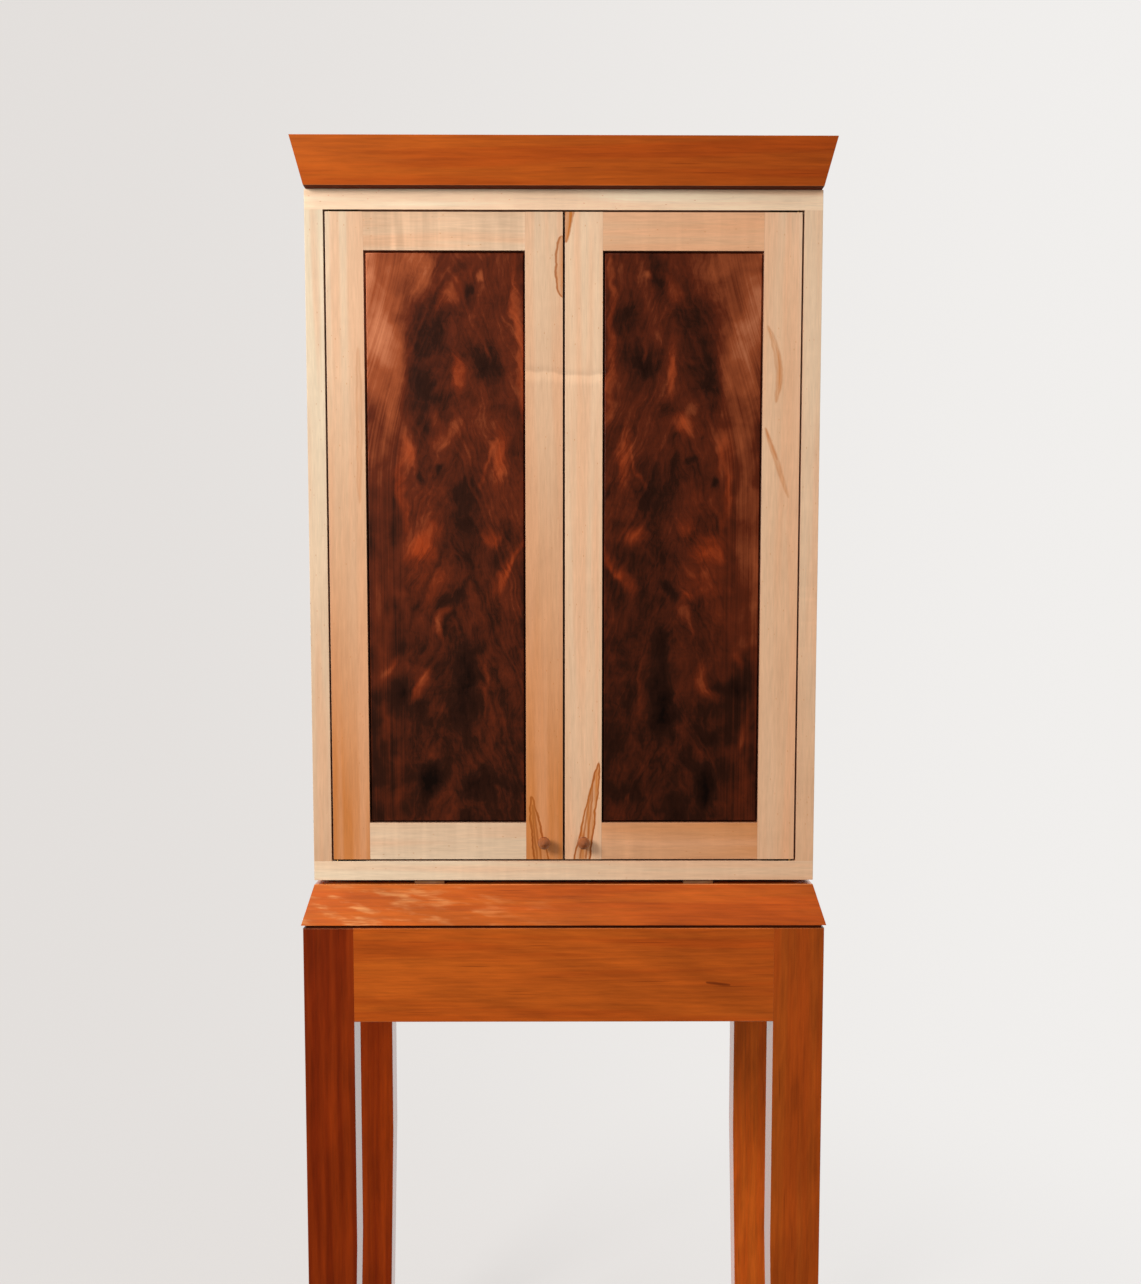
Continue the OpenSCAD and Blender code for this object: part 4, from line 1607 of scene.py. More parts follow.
@dataclass(frozen=True)
class KnobTurning:
    """A turned knob: a spigot, a waisted neck and a button head.

    Attributes:
        projection: How far it stands out from the door.
        head: Diameter of the head.
        head_height: Height of the head.
        dome: Height of the dome above the widest line.
        neck: Diameter of the neck at its waist.
        flare: Radius that the neck gains at the door.
        swell: Radius that the neck gains at the head.
        spigot: Diameter of the spigot.
        spigot_length: Length of the spigot in the door.
    """

    projection: float = 0.022
    head: float = 0.0134
    head_height: float = 0.0067
    dome: float = 0.0042
    neck: float = 0.0066
    flare: float = 0.0011
    swell: float = 0.0006
    spigot: float = 0.0052
    spigot_length: float = 0.006

    # Angle of the head's profile below its widest line, then places along the profile
    under = math.radians(35)
    neck_start = 0.1
    head_start = 0.5
    tip = 0.00001
    rings_along = 72
    sides = 48

    def tree(self) -> ShapeBench:
        """Builds the lathe: a line whose radius follows the turned profile.

        Returns:
            The tree.
        """
        names = ("Projection", "Head", "Head height", "Dome", "Neck", "Flare", "Swell", "Spigot",
                 "Spigot length")
        bench = ShapeBench("knob turning", names)
        line = bench.shape("GeometryNodeCurvePrimitiveLine", {"mode": "POINTS"}, {"End": (0, 0, 1)})
        line = bench.shape("GeometryNodeResampleCurve", {}, {"Curve": line, "Count": self.rings_along})
        run = bench.wire("GeometryNodeSplineParameter", {}, {})
        on_head = run.above(self.head_start)
        on_neck = run.above(self.neck_start) - on_head
        on_spigot = 1 - run.above(self.neck_start)
        neck_run = (run - self.neck_start) / (self.head_start - self.neck_start)
        head_run = (run - self.head_start) / (1 - self.head_start)
        angle = head_run * (math.pi / 2 + self.under) - self.under
        wave = ((neck_run * math.tau).cosine() + 1) * 0.5
        neck = bench.size("Neck") * 0.5 + bench.size("Flare") * wave + bench.size("Swell") * neck_run
        radius = (angle.cosine() * bench.size("Head") * 0.5).most(self.tip) * on_head
        radius = radius + neck * on_neck + bench.size("Spigot") * 0.5 * on_spigot
        head_z = bench.size("Projection") - bench.size("Dome") * (1 - angle.sine())
        neck_z = neck_run * (bench.size("Projection") - bench.size("Head height"))
        spigot_z = (run / self.neck_start - 1) * bench.size("Spigot length")
        height = head_z * on_head + neck_z * on_neck + spigot_z * on_spigot
        values = {"Geometry": line, "Position": bench.join(0.0, 0.0, height)}
        line = bench.shape("GeometryNodeSetPosition", {}, values)
        values = {"Resolution": self.sides, "Radius": 1.0}
        circle = bench.shape("GeometryNodeCurvePrimitiveCircle", {}, values)
        values = {"Curve": line, "Profile Curve": circle, "Scale": radius, "Fill Caps": True}
        turned = bench.shape("GeometryNodeCurveToMesh", {}, values)
        bench.end(bench.shape("GeometryNodeSetShadeSmooth", {}, {0: turned}))
        return bench

    def sizes(self, finish: Material) -> dict[str, object]:
        """The tree's inputs for a knob.

        Args:
            finish: Its material.

        Returns:
            The inputs, by name.
        """
        return {
            "Projection": self.projection, "Head": self.head, "Head height": self.head_height,
            "Dome": self.dome, "Neck": self.neck, "Flare": self.flare, "Swell": self.swell,
            "Spigot": self.spigot, "Spigot length": self.spigot_length, "Finish": finish,
        }


@dataclass(frozen=True)
class TaperedLeg:
    """A leg with straight outer faces and tapered inner faces, mortised for two aprons.

    Attributes:
        foot: Width and depth at the floor.
        taper: Height at which the inner faces begin to taper.
        apron: Height and thickness of the aprons.
        tenon: Length and thickness of their tenons.
        shoulder: Distance of a mortise from the top and the foot of the apron.
    """

    foot: tuple[float, float] = (0.045, 0.038)
    taper: float = 0.365
    apron: tuple[float, float] = (0.102, 0.02)
    tenon: tuple[float, float] = (0.025, 0.0083)
    shoulder: float = 0.012

    def tree(self) -> ShapeBench:
        """Builds the leg at the origin, with its outer corner on the Z axis.

        Returns:
            The tree.
        """
        names = ("Width", "Depth", "Height", "Foot width", "Foot depth", "Taper", "Apron height",
                 "Apron thickness", "Tenon length", "Tenon thickness", "Shoulder")
        bench = ShapeBench("tapered leg", names)
        width, depth, height = (bench.size(name) for name in ("Width", "Depth", "Height"))
        values = {"Size": bench.join(width, depth, height), "Vertices Z": 3}
        blank = bench.shape("GeometryNodeMeshCube", {}, values)
        x, y, z = bench.split(bench.shape("GeometryNodeInputPosition", {}, {}))
        between_rows = height * 0.25
        top = z.above(between_rows)
        low = (z * -1).above(between_rows)
        x = (x + width * 0.5) * (1 - low * (1 - bench.size("Foot width") / width))
        y = (y + depth * 0.5) * (1 - low * (1 - bench.size("Foot depth") / depth))
        z = top * height + (1 - top - low) * bench.size("Taper")
        values = {"Geometry": blank, "Position": bench.join(x, y, z)}
        blank = bench.shape("GeometryNodeSetPosition", {}, values)
        length, thick = bench.size("Tenon length"), bench.size("Tenon thickness")
        tall = bench.size("Apron height") - bench.size("Shoulder") * 2
        middle_z = height - bench.size("Apron height") * 0.5
        middle = bench.size("Apron thickness") * 0.5
        deep = length * 2
        front = bench.shape("GeometryNodeMeshCube", {}, {"Size": bench.join(deep, thick, tall)})
        side = bench.shape("GeometryNodeMeshCube", {}, {"Size": bench.join(thick, deep, tall)})
        bench.end(bench.minus(blank, bench.moved(front, bench.join(width, middle, middle_z)),
                              bench.moved(side, bench.join(middle, depth, middle_z))))
        return bench

    def sizes(self, box: Box, finish: Material) -> dict[str, object]:
        """The tree's inputs for a leg.

        Args:
            box: Low and high corner of the leg.
            finish: Its material.

        Returns:
            The inputs, by name.
        """
        width, depth, height = box[1] - box[0]
        return {
            "Width": width, "Depth": depth, "Height": height, "Foot width": self.foot[0],
            "Foot depth": self.foot[1], "Taper": self.taper, "Apron height": self.apron[0],
            "Apron thickness": self.apron[1], "Tenon length": self.tenon[0],
            "Tenon thickness": self.tenon[1], "Shoulder": self.shoulder, "Finish": finish,
        }


@dataclass(frozen=True)
class ScrewStock:
    """Slotted screws of one size.

    Attributes:
        head: Radius of the head.
        head_height: Height of the head.
        neck: Radius of the head at the shank; below head on a countersunk screw.
        shank: Radius of the shank.
        slot: Width and depth of the slot.
    """

    head: float
    head_height: float
    neck: float
    shank: float
    slot: tuple[float, float] = (0.0009, 0.0009)

    # Share of the shank's radius that is left at its point
    taper = 0.55
    turn_seed = 11
    sides = 32

    @classmethod
    def tree(cls) -> ShapeBench:
        """Builds one screw and puts it at every point that comes in.

        Returns:
            The tree. A point's value "up" is one where the shank rises from the head, and
            else zero.
        """
        names = ("Head", "Head height", "Neck", "Shank", "Length", "Slot width", "Slot depth")
        bench = ShapeBench("slotted screws", names)
        head, head_height, neck, shank, length, slot_width, slot_depth = (
            bench.size(name) for name in names)
        values = {"Vertices": cls.sides, "Radius Top": neck, "Radius Bottom": head,
                  "Depth": head_height}
        button = bench.shape("GeometryNodeMeshCone", {}, values)
        cutter = bench.join(head * 3, slot_width, slot_depth * 2)
        button = bench.minus(button, bench.shape("GeometryNodeMeshCube", {}, {"Size": cutter}))
        values = {"Vertices": cls.sides, "Radius Top": shank * cls.taper, "Radius Bottom": shank,
                  "Depth": length - head_height}
        pin = bench.shape("GeometryNodeMeshCone", {}, values)
        pin = bench.moved(pin, bench.join(0.0, 0.0, head_height))
        screw = bench.node("GeometryNodeJoinGeometry", {}, {})
        for part in (button, pin):
            bench.tree.links.new(part, screw.inputs[0])
        up = bench.wire("GeometryNodeInputNamedAttribute", {"data_type": "FLOAT"}, {"Name": "up"})
        turn = bench.wire("FunctionNodeRandomValue", {"data_type": "FLOAT"},
                          {"Max": math.tau, "Seed": cls.turn_seed}, output=1)
        values = {"Points": bench.start.outputs["Geometry"], "Instance": screw.outputs[0],
                  "Rotation": bench.join((1 - up) * math.pi, 0.0, turn)}
        bench.end(bench.shape("GeometryNodeInstanceOnPoints", {}, values))
        return bench

    def sizes(self, length: float, finish: Material) -> dict[str, object]:
        """The tree's inputs for screws of this size.

        Args:
            length: Their whole length.
            finish: Their material.

        Returns:
            The inputs, by name.
        """
        return {
            "Head": self.head, "Head height": self.head_height, "Neck": self.neck,
            "Shank": self.shank, "Length": length, "Slot width": self.slot[0],
            "Slot depth": self.slot[1], "Finish": finish,
        }


class Hardware:
    """Makes the screws, which repeat.

    Attributes:
        head_share: Share of the head's radius that only the head reaches.
    """

    head_share = 0.9

    def __init__(self, shop: Workshop) -> None:
        """Starts the hardware of a cabinet.

        Args:
            shop: The workshop that knows its nodes.
        """
        self.shop = shop
        self.screw_tree = ScrewStock.tree()

    def screws(self, node: str, stock: ScrewStock, metal: Metal) -> Object:
        """Makes the screws of one node.

        Args:
            node: The node.
            stock: Their size.
            metal: What they are made of.

        Returns:
            The finished piece.
        """
        heads, ups = [], []
        length = 0.0
        for points in self.shop.solids(node):
            low, high = group_box(points)
            centre = (low + high) / 2
            length = high.z - low.z
            widest = max(math.hypot(p.x - centre.x, p.y - centre.y) for p in points if p.z < centre.z)
            rises = widest > stock.head * self.head_share
            heads.append((centre.x, centre.y, low.z if rises else high.z))
            ups.append(1.0 if rises else 0.0)
        places = bpy.data.meshes.new("places")
        places.from_pydata(heads, [], [])
        places.attributes.new("up", "FLOAT", "POINT").data.foreach_set("value", ups)
        finish = self.shop.metals[metal.slot]
        mesh = self.screw_tree.run(stock.sizes(length, finish), places)
        return self.shop.hand_over(node, mesh, finish, metal.slot)


# Sub-assemblies

FOUR_SIDES = (
    ("front", Way.RIGHT, Way.FRONT), ("back", Way.RIGHT, Way.BACK),
    ("left", Way.BACK, Way.LEFT), ("right", Way.BACK, Way.RIGHT),
)


@dataclass
class Stand:
    """The cherry stand: legs, aprons, sloped top, and what holds them together.

    Attributes:
        edge: Rounding of its boards.
        thin_edge: Rounding of its thin strips and runners.
        leg_form: Shape of its legs.
        leg_look: Share of the deep colour and lightness of each leg; the rear legs' extra lightness is
            painted light.
        screw: Screws of its buttons.
    """

    edge: Ease = Ease(bare=0.0009, joint=0.00012)
    thin_edge: Ease = Ease(bare=0.0002)
    leg_form: TaperedLeg = TaperedLeg()
    leg_look: Mapping[str, tuple[float, float]] = field(default_factory=lambda: {
        "front_left": (1.1, 0.86), "front_right": (0.4, 0.89),
        # Painted light: the rear legs are made lighter to lift the shade that the front parts cast
        "rear_left": (0.95, 1.12), "rear_right": (0.35, 1.38),
    })
    screw: ScrewStock = ScrewStock(head=0.004, head_height=0.0025, neck=0.004, shank=0.002)

    def build(self, shop: Workshop, hardware: Hardware) -> Pieces:
        """Builds and dresses the stand.

        Args:
            shop: The workshop.
            hardware: The maker of screws.

        Returns:
            Its pieces.
        """
        return [*self.legs(shop), *self.aprons(shop), *self.top(shop), *self.runners(shop),
                hardware.screws("button_screws", self.screw, STEEL)]

    def legs(self, shop: Workshop) -> Pieces:
        """The four tapered legs.

        Args:
            shop: The workshop.

        Returns:
            The finished pieces.
        """
        tree = self.leg_form.tree()
        apron_foot = shop.boxes["apron_front"][0].z
        ease = replace(self.edge, splits=(apron_foot,))
        pieces = []
        for index, (corner, (deep, light)) in enumerate(self.leg_look.items()):
            node = f"leg_{corner}"
            low, high = shop.boxes[node]
            cut = Cut(Way.UP, Way.FRONT, seed=20 + index, pith=(0.16, -0.09), head=deep, foot=deep,
                      light=light)
            material = CHERRY.material(f"cherry of {node}", (low, high), cut)
            shape = bmesh.new()
            shape.from_mesh(tree.run(self.leg_form.sizes((low, high), material)))
            right, rear = corner.endswith("right"), corner.startswith("rear")
            outer = Vector((high.x if right else low.x, high.y if rear else low.y, low.z))
            mirror = Matrix.Diagonal((-1 if right else 1, -1 if rear else 1, 1, 1))
            shape.transform(Matrix.Translation(outer) @ mirror)
            merge_doubles(shape)
            bmesh.ops.recalc_face_normals(shape, faces=shape.faces)
            pieces.append(shop.hand_over(node, shop.eased(node, shape, ease), material, CHERRY.slot))
        return pieces

    def aprons(self, shop: Workshop) -> Pieces:
        """The four aprons, the buttons behind them and the strips on top of them.

        Args:
            shop: The workshop.

        Returns:
            The finished pieces.
        """
        gum = Streak(foot=(0.152, -0.008), length=0.026, width=0.001, lean=-0.003, open_foot=False, rim=0.3)
        pieces = []
        for index, (part, along, out) in enumerate(FOUR_SIDES):
            cut = Cut(along, out, seed=30 + index, pith=(-0.10, -0.10), head=0.4, foot=0.2,
                      streaks=(gum,) if part == "front" else ())
            pieces.append(shop.board(f"apron_{part}", CHERRY, cut, self.edge))
        buttons = Cut(Way.RIGHT, Way.DOWN, seed=36, head=0.6, foot=0.6)
        pieces.append(shop.board("top_buttons", CHERRY, buttons))
        # The strips sit back in the shaded gap; their dark walnut is partly painted shade
        strips = Cut(Way.RIGHT, Way.FRONT, seed=37)
        pieces.append(shop.board("top_spacer_strips", SHADE_DARK_WALNUT, strips, self.thin_edge))
        return pieces

    def top(self, shop: Workshop) -> Pieces:
        """The sloped, mitred top and its panel.

        Args:
            shop: The workshop.

        Returns:
            The finished pieces.
        """
        # The stand top gets a painted sheen on its figure
        lively = replace(CHERRY, shine=srgb(238, 170, 104), glow=0.7)
        look = Cut(Way.RIGHT, Way.FRONT, seed=40, pith=(0.07, -0.12), lean=(0.015, 0.06), head=0.42,
                   foot=0.0, light=1.12)
        return shop.framed_panel("stand_top", lively, look, self.edge)

    def runners(self, shop: Workshop) -> Pieces:
        """The two thin runners that carry the case.

        Args:
            shop: The workshop.

        Returns:
            The finished pieces.
        """
        pieces = []
        for side in Side:
            # Painted shade: the runners sit back under the case, so they are made dim and deep
            cut = Cut(Way.BACK, side.outward(), seed=50 + side.value, head=0.9, foot=0.9, light=0.5)
            pieces.append(shop.board(f"runner_{side.word()}", MAPLE, cut, self.thin_edge))
        return pieces


@dataclass
class Case:
    """The maple case with its back, shelves, stops and case hinges.

    Attributes:
        edge: Rounding of its boards.
        screw: Screws that hold it to the stand.
        hinge_screw: Screws of its hinge plates.
    """

    edge: Ease = Ease(bare=0.0005, joint=0.00008)
    screw: ScrewStock = ScrewStock(head=0.005, head_height=0.003, neck=0.005, shank=0.0025)
    hinge_screw: ScrewStock = ScrewStock(head=0.0026, head_height=0.0014, neck=0.0012,
                                         shank=0.0012, slot=(0.0006, 0.0005))

    def build(self, shop: Workshop, hardware: Hardware) -> Pieces:
        """Builds and dresses the case.

        Args:
            shop: The workshop.
            hardware: The maker of screws.

        Returns:
            Its pieces.
        """
        pieces = [*self.box(shop), *self.back(shop), *self.inside(shop)]
        pieces.append(hardware.screws("case_fixing_screws", self.screw, STEEL))
        pieces.append(hardware.screws("case_hinge_screws", self.hinge_screw, BRASS))
        for node, metal in (("shelf_pins", BRASS), ("stop_magnets", STEEL), ("case_hinge_plates", BRASS)):
            pieces.append(shop.coat(node, metal))
        return pieces

    def box(self, shop: Workshop) -> Pieces:
        """The two sides between the top and the bottom board.

        Args:
            shop: The workshop.

        Returns:
            The finished pieces.
        """
        # The right side and the top are made lighter: partly their own tone, partly painted fill light from
        # the right
        cuts = {
            "case_left_side": Cut(Way.UP, Way.LEFT, seed=60, pith=(0.05, -0.15), head=0.0, foot=0.5,
                                  light=0.96),
            "case_right_side": Cut(Way.UP, Way.RIGHT, seed=61, pith=(-0.12, -0.12), head=0.35, foot=0.6,
                                   light=1.04, ripple=0.5),
            "case_top": Cut(Way.RIGHT, Way.FRONT, seed=62, pith=(0.09, -0.1), head=0.2, foot=0.0,
                            light=1.15, ripple=0.3),
            "case_bottom": Cut(Way.RIGHT, Way.FRONT, seed=63, pith=(0.08, -0.12), head=0.5, foot=0.2,
                               light=1.06, ripple=0.4),
        }
        return [shop.board(node, MAPLE, cut, self.edge) for node, cut in cuts.items()]

    def back(self, shop: Workshop) -> Pieces:
        """The framed back.

        Args:
            shop: The workshop.

        Returns:
            The finished pieces.
        """
        ways = {"stile_left": Way.UP, "stile_right": Way.UP, "rail_top": Way.RIGHT,
                "rail_bottom": Way.RIGHT, "panel": Way.UP}
        pieces = []
        for index, (part, along) in enumerate(ways.items()):
            cut = Cut(along, Way.BACK, seed=70 + index, head=0.3, foot=0.4, light=0.97)
            pieces.append(shop.board(f"back_{part}", MAPLE, cut, self.edge))
        return pieces

    def inside(self, shop: Workshop) -> Pieces:
        """The shelves and the door stops.

        Args:
            shop: The workshop.

        Returns:
            The finished pieces.
        """
        pieces = []
        for index, node in enumerate(("shelf_lower", "shelf_upper", "door_stop_top", "door_stop_bottom")):
            cut = Cut(Way.RIGHT, Way.UP, seed=80 + index, pith=(0.05, -0.12), head=0.3, foot=0.35)
            pieces.append(shop.board(node, MAPLE, cut, self.edge))
        return pieces


@dataclass
class Crown:
    """The flared cherry crown with its dust panel.

    Attributes:
        edge: Rounding of its boards.
        screw: Screws that hold it to the case.
    """

    edge: Ease = Ease(bare=0.0006, joint=0.0001)
    screw: ScrewStock = ScrewStock(head=0.0045, head_height=0.0028, neck=0.0045, shank=0.00225)

    def build(self, shop: Workshop, hardware: Hardware) -> Pieces:
        """Builds and dresses the crown.

        Args:
            shop: The workshop.
            hardware: The maker of screws.

        Returns:
            Its pieces.
        """
        calm = replace(CHERRY, mottle=0.35)
        look = Cut(Way.RIGHT, Way.FRONT, seed=90, pith=(-0.09, -0.11), lean=(-0.02, 0.03), head=0.45,
                   foot=0.2)
        return [*shop.framed_panel("crown", calm, look, self.edge),
                hardware.screws("crown_screws", self.screw, STEEL)]


@dataclass
class Door:
    """One framed door with its walnut panel, its knob and its hinge plates.

    Attributes:
        side: Side of the cabinet that it closes.
        crotch: Figure of its panel.
        stiles: How its two uprights were sawn.
        rails: How its two crosspieces were sawn.
        edge: Rounding of its frame.
        panel_edge: Rounding of its panel.
        knob: Shape of its knob.
        hinge_screw: Screws of its hinge plates.
    """

    side: Side
    crotch: Crotch
    stiles: Mapping[str, Cut]
    rails: Mapping[str, Cut]
    edge: Ease = Ease(bare=0.0005, joint=0.00008)
    panel_edge: Ease = Ease(bare=0.0007, joint=0.0004)
    knob: KnobTurning = KnobTurning()
    hinge_screw: ScrewStock = Case.hinge_screw

    def node(self, part: str) -> str:
        """The node of one part of this door."""
        return f"{self.side.word()}_{part}"

    def build(self, shop: Workshop, hardware: Hardware) -> Pieces:
        """Builds and dresses the door.

        Args:
            shop: The workshop.
            hardware: The maker of screws.

        Returns:
            Its pieces.
        """
        rail_edges = (shop.boxes[self.node("bottom_rail")][1].z, shop.boxes[self.node("top_rail")][0].z)
        stile_edge = replace(self.edge, splits=rail_edges)
        boards = [(part, cut, stile_edge) for part, cut in self.stiles.items()]
        boards += [(part, cut, self.edge) for part, cut in self.rails.items()]
        return [
            *(shop.board(self.node(part), MAPLE, cut, edge) for part, cut, edge in boards),
            self.panel(shop),
            self.turned_knob(shop),
            hardware.screws(self.node("hinge_screws"), self.hinge_screw, BRASS),
            shop.coat(self.node("hinge_plates"), BRASS),
            shop.coat(self.node("strike"), STEEL),
        ]

    def panel(self, shop: Workshop) -> Object:
        """The panel of crotch walnut.

        Args:
            shop: The workshop.

        Returns:
            The finished piece.
        """
        node = self.node("panel")
        hinge_stile = shop.boxes[self.node("hinge_stile")]
        inner = hinge_stile[1].x if self.side is Side.LEFT else hinge_stile[0].x
        top = shop.boxes[self.node("top_rail")][0].z
        corner = Vector((inner, shop.boxes[node][0].y, top))
        mesh = shop.eased(node, shop.plain_copy(node), self.panel_edge)
        material = self.crotch.material(f"crotch walnut of {node}", corner, self.side)
        return shop.hand_over(node, mesh, material, self.crotch.slot)

    def turned_knob(self, shop: Workshop) -> Object:
        """The knob, turned about its own axis and set in the lock stile.

        Args:
            shop: The workshop.

        Returns:
            The finished piece.
        """
        node = self.node("knob")
        low, high = shop.boxes[node]
        cut = Cut(Way.FRONT, Way.UP, seed=100 + self.side.value, pith=(0.03, -0.02), head=0.5, foot=0.5)
        material = KNOB_WOOD.material(f"knob wood of {node}", (low, high), cut)
        mesh = self.knob.tree().run(self.knob.sizes(material))
        door_face = low.y + self.knob.projection
        place = Matrix.Translation(((low.x + high.x) / 2, door_face, (low.z + high.z) / 2))
        mesh.transform(place @ Matrix.Rotation(math.pi / 2, 4, "X"))
        return shop.hand_over(node, mesh, material, KNOB_WOOD.slot)


def stile(seed: int, **look: object) -> Cut:
    """An upright of a door, whose narrow sides in the gaps carry painted shade; look holds fields of Cut.
    """
    return Cut(Way.UP, Way.FRONT, seed, flank=DOOR_GAP_SHADE, **look)


def rail(seed: int, **look: object) -> Cut:
    """A crosspiece of a door; the arguments are those of stile()."""
    return Cut(Way.RIGHT, Way.FRONT, seed, flank=DOOR_GAP_SHADE, **look)


def left_door() -> Door:
    """Plans the left door, with its own boards.

    Returns:
        The door.
    """
    hinge_streaks = (
        Streak((0.04, -0.012), length=0.16, width=0.003, open_foot=False, depth=0.2, rim=0.1),
    )
    lock_streaks = (
        Streak((-0.338, 0.0035), length=0.069, width=0.0065, lean=0.011, depth=0.5, rim=0.7),
        Streak((-0.338, 0.006), length=0.06, width=0.0022, lean=0.007, depth=0.4, rim=0.45),
        Streak((0.251, -0.0196), length=0.062, width=0.0068, open_foot=False, depth=0.7, rim=0.55),
    )
    stiles = {
        "hinge_stile": stile(110, pith=(-0.1, -0.1), head=0.32, foot=1.0, streaks=hinge_streaks),
        "lock_stile": stile(111, pith=(0.12, -0.09), head=0.35, foot=1.0, bars=(0.172,),
                            streaks=lock_streaks),
    }
    rails = {
        "top_rail": rail(112, pith=(0.1, -0.08), head=0.38, foot=0.48, light=0.96, ripple=2.2),
        "bottom_rail": rail(113, head=0.35, foot=0.3, light=0.98, ripple=1.2),
    }
    return Door(Side.LEFT, Crotch(seed=5, light=1.14), stiles, rails)


def right_door() -> Door:
    """Plans the right door, with its own boards.

    Returns:
        The door.
    """
    own = blots(
        (10, 17, 16, 8, 0, -0.14),
        (83, 184, 11, 16, 0, 0.1, 0.5),
        (80, 359, 7, 8, 0, 0.1, 0.5),
        (16, 434, 20, 26, 0, -0.22),
        (48, 350, 18, 60, 0, 0.14, 0.1),
        (12, 290, 22, 170, 0, 0.26),
        # Dims the first shared patch here, so that its painted sheen stays stronger on the left panel
        (10, 60, 32, 150, 0, -0.2),
    )
    hinge_streaks = (
        Streak((0.144, 0.0075), length=0.079, width=0.0034, lean=0.01, bow=-0.007, open_foot=False,
               depth=0.6, rim=0.12),
        Streak((0.158, 0.005), length=0.062, width=0.0011, lean=0.012, bow=-0.0055, open_foot=False,
               depth=0.7, rim=0.0),
        Streak((0.046, -0.0075), length=0.073, width=0.0028, lean=0.025, open_foot=False, depth=0.55,
               rim=0.1),
        Streak((0.085, 0.0045), length=0.033, width=0.0012, lean=0.013, open_foot=False, depth=0.7,
               rim=0.1),
    )
    lock_streaks = (
        Streak((-0.337, 0.002), length=0.104, width=0.0074, lean=-0.018, depth=0.8, rim=0.75),
        Streak((-0.336, 0.001), length=0.08, width=0.003, lean=-0.01, depth=0.4, rim=0.5),
        Streak((0.337, 0.0155), length=-0.031, width=0.004, lean=0.003, depth=1.1, rim=0.4),
    )
    # This door's boards are made lighter: partly their own tone, partly painted fill light from the right
    stiles = {
        "hinge_stile": stile(120, pith=(0.1, -0.1), head=0.42, foot=0.62, light=1.06,
                             streaks=hinge_streaks),
        "lock_stile": stile(121, pith=(-0.12, -0.09), head=0.34, foot=0.52, light=1.06,
                            bars=(0.17,), streaks=lock_streaks),
    }
    rails = {
        "top_rail": rail(122, pith=(-0.09, -0.1), head=0.65, foot=0.5, light=1.04, ripple=0.4),
        "bottom_rail": rail(123, head=0.95, foot=0.75, ripple=0.8),
    }
    return Door(Side.RIGHT, Crotch(seed=9, light=0.93, own=own), stiles, rails)


# Studio


@dataclass(frozen=True)
class Lamp:
    """A soft lamp.

    Attributes:
        name: Its name.
        place: Where it stands.
        aim: The point that it lights.
        size: Side of its square face.
        watts: Its power.
        tint: Its colour.
    """

    name: str
    place: Triple
    aim: Triple
    size: float
    watts: float
    tint: Triple = (1.0, 1.0, 1.0)

    def build(self) -> None:
        """Puts the lamp in the scene."""
        data = bpy.data.lights.new(self.name, "AREA")
        data.energy = self.watts
        data.size = self.size
        data.color = self.tint
        lamp = linked(self.name, data)
        lamp.location = self.place
        lamp.visible_camera = False
        lamp.rotation_euler = (Vector(self.place) - Vector(self.aim)).to_track_quat("Z", "Y").to_euler()


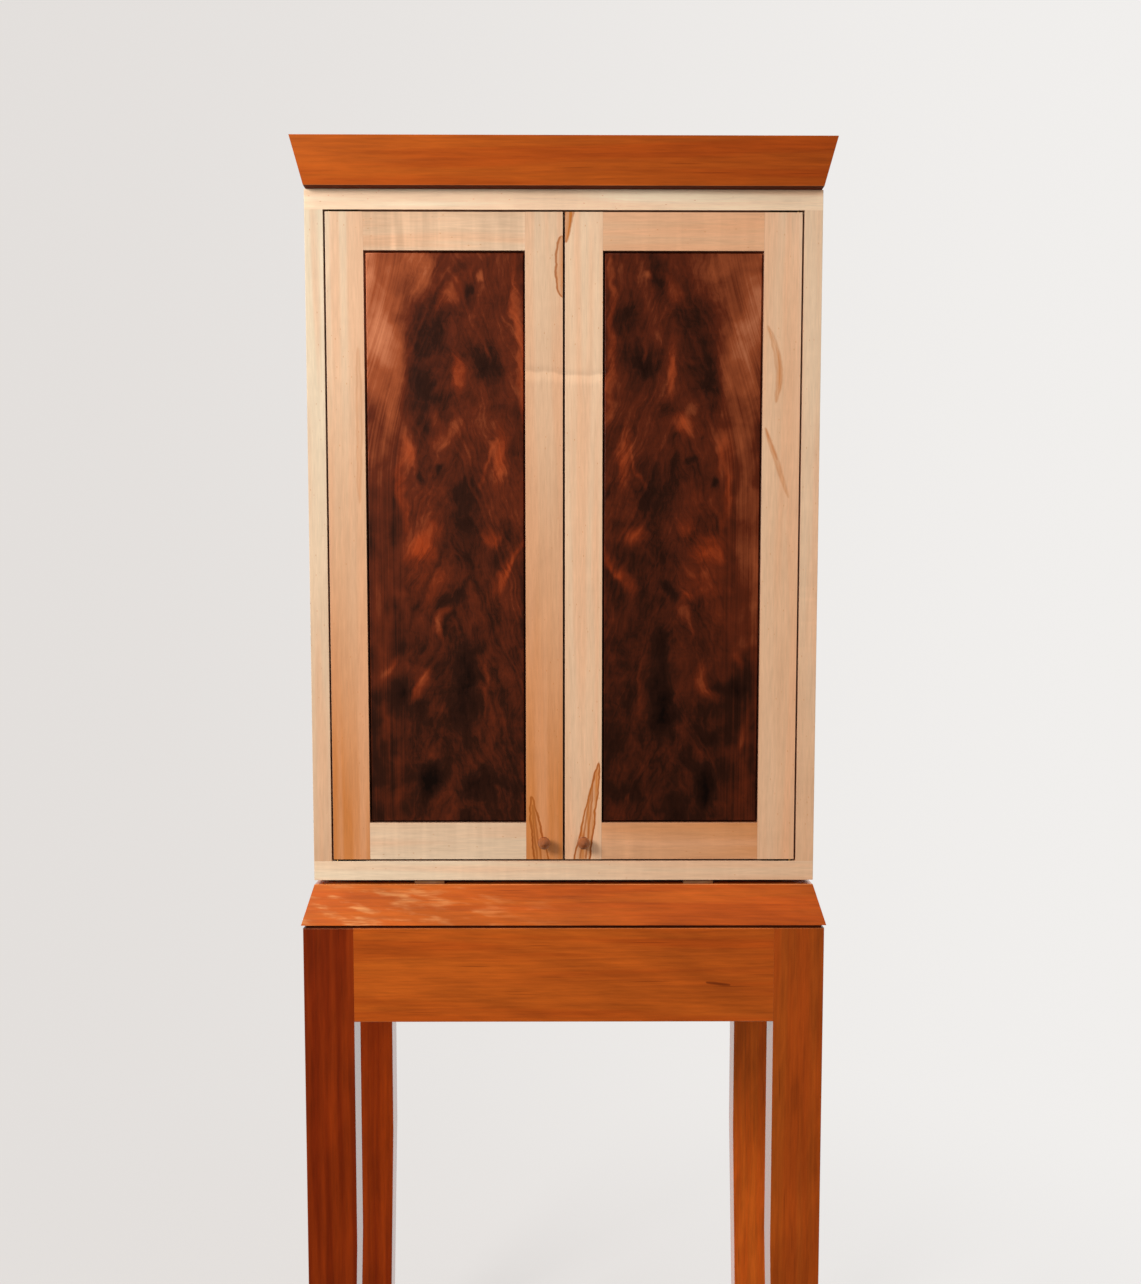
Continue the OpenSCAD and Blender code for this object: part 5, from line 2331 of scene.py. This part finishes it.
@dataclass(frozen=True)
class Studio:
    """A pale floor and backdrop, soft lamps and the photograph's camera.

    Attributes:
        backdrop: Colours of the backdrop and the floor, at the left and at the right.
        spread: How far to each side the colours of the backdrop change.
        ambient: Strength of the light from all round, from below and from above.
        front_gloss: How bright the space in front of the cabinet looks in reflections.
        floor_size: Half the side of the floor.
        floor_near: Distance within which the floor takes shadows in full.
        floor_far: Distance past which it looks like the backdrop.
        floor_glow: Least share of the backdrop's look in the floor.
        floor_turn: Distance over which the floor's colour turns from left to right.
        behind: How far back a reflection looks where the backdrop fades in.
        horizon: How far up a place looks where the light turns from below to above.
        lamps: The lamps.
        sensor: Width of the camera's sensor in millimetres.
        focal: Focal length in pixels of a picture 1284 high.
        picture: Height of that picture.
        drop: How far the lens axis lies below the middle of the picture, in pixels.
        eye: Where the camera stands.
        pitch: How far it looks down, in radians.
        yaw: How far it looks to the right, in radians.
        roll: How far the picture turns clockwise, in radians.
    """

    backdrop: tuple[Colour, Colour] = (srgb(227, 223, 220), srgb(241, 239, 237))
    spread: float = 0.4
    ambient: tuple[float, float] = (0.2, 0.72)
    front_gloss: float = 0.01
    floor_size: float = 6.0
    floor_near: float = 0.4
    floor_far: float = 1.6
    floor_glow: float = 0.55
    floor_turn: float = 1.7
    behind: tuple[float, float] = (-0.2, 0.3)
    horizon: tuple[float, float] = (-0.3, 0.4)
    lamps: tuple[Lamp, ...] = (
        Lamp("key", place=(-1.3, -1.68, 1.78), aim=(0.0, -0.18, 1.0), size=0.7, watts=28.5,
             tint=(1.0, 0.985, 0.96)),
        Lamp("rear", place=(0.8, 2.6, 2.8), aim=(0.0, 0.1, 1.0), size=1.8, watts=26),
    )
    sensor: float = 36
    focal: float = 1450
    picture: float = 1284
    drop: float = 77
    eye: Triple = (-0.0034, -1.7125, 1.0761)
    pitch: float = math.radians(5.105)
    yaw: float = 0.0068
    roll: float = 0.0005

    def build(self) -> None:
        """Builds the camera, the lamps, the world and the floor."""
        self.camera()
        for lamp in self.lamps:
            lamp.build()
        self.world()
        self.floor()
        bpy.context.scene.view_settings.view_transform = "Standard"

    def camera(self) -> None:
        """The camera at the photograph's place."""
        data = bpy.data.cameras.new("camera")
        data.sensor_width = self.sensor
        data.lens = self.focal / self.picture * data.sensor_width
        data.shift_y = self.drop / self.picture
        camera = linked("camera", data)
        turn = Matrix.Rotation(-self.yaw, 4, "Z") @ Matrix.Rotation(math.pi / 2 - self.pitch, 4, "X")
        camera.matrix_world = Matrix.Translation(self.eye) @ turn @ Matrix.Rotation(self.roll, 4, "Z")
        bpy.context.scene.camera = camera

    def seen_backdrop(self, bench: Bench, sideways: Wire) -> Socket:
        """The backdrop's colour, which changes from left (-1) to right (1)."""
        return bench.blend(sideways.fade(-self.spread, self.spread), *self.backdrop)

    def world(self) -> None:
        """Soft light from all round; the backdrop shows to the camera and in reflections."""
        world = bpy.data.worlds.new("studio")
        world.use_nodes = True
        world.node_tree.nodes.clear()
        bpy.context.scene.world = world
        bench = Bench(world.node_tree)
        rays = bench.node("ShaderNodeLightPath", {}, {})
        direct, glossy, through = (Wire(bench, rays.outputs[name]) for name in (
            "Is Camera Ray", "Is Glossy Ray", "Is Transmission Ray"))
        here = bench.node("ShaderNodeTexCoord", {}, {})
        sideways, towards_back, upwards = bench.split(here.outputs["Generated"])
        behind = towards_back.fade(*self.behind)
        seen = (direct + through + glossy * behind).least(1.0)
        below, above = self.ambient
        soft = below + (above - below) * upwards.fade(*self.horizon)
        unseen = glossy * self.front_gloss + (1 - glossy) * soft
        colour = bench.blend(seen, (1.0, 1.0, 1.0, 1.0), self.seen_backdrop(bench, sideways))
        light = bench.node("ShaderNodeBackground", {}, {0: colour, 1: seen + (1 - seen) * unseen})
        bench.node("ShaderNodeOutputWorld", {}, {"Surface": light.outputs[0]})

    def floor(self) -> None:
        """A plain pale floor that melts into the backdrop far from the cabinet."""
        size = self.floor_size
        corners = [(-size, -size, 0), (size, -size, 0), (size, size, 0), (-size, size, 0)]
        mesh = bpy.data.meshes.new("floor")
        mesh.from_pydata(corners, [], [(0, 1, 2, 3)])
        floor = linked("floor", mesh)
        floor.visible_diffuse = False
        floor.visible_glossy = False
        material = blank_material("floor")
        mesh.materials.append(material)
        bench = Bench(material.node_tree)
        here = bench.node("ShaderNodeTexCoord", {}, {})
        x, y, _ = bench.split(here.outputs["Object"])
        distance = (x * x + y * y).root()
        colour = self.seen_backdrop(bench, x / (distance + self.floor_turn))
        plain = bench.node("ShaderNodeBsdfDiffuse", {}, {"Color": colour})
        bright = bench.node("ShaderNodeEmission", {}, {"Color": colour})
        far = distance.fade(self.floor_near, self.floor_far)
        share = self.floor_glow + (1 - self.floor_glow) * far
        mixed = bench.node("ShaderNodeMixShader", {}, {0: share, 1: plain.outputs[0], 2: bright.outputs[0]})
        bench.node("ShaderNodeOutputMaterial", {}, {"Surface": mixed.outputs[0]})


def main() -> None:
    """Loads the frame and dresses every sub-assembly."""
    logging.basicConfig(level=logging.INFO, format="%(message)s")
    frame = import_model()
    Studio().build()
    shop = Workshop(frame)
    hardware = Hardware(shop)
    for assembly in (Stand(), Case(), left_door(), right_door(), Crown()):
        for piece in assembly.build(shop, hardware):
            LOG.info("%s: %d faces", piece.name, len(piece.data.polygons))


if __name__ == "__main__":
    main()
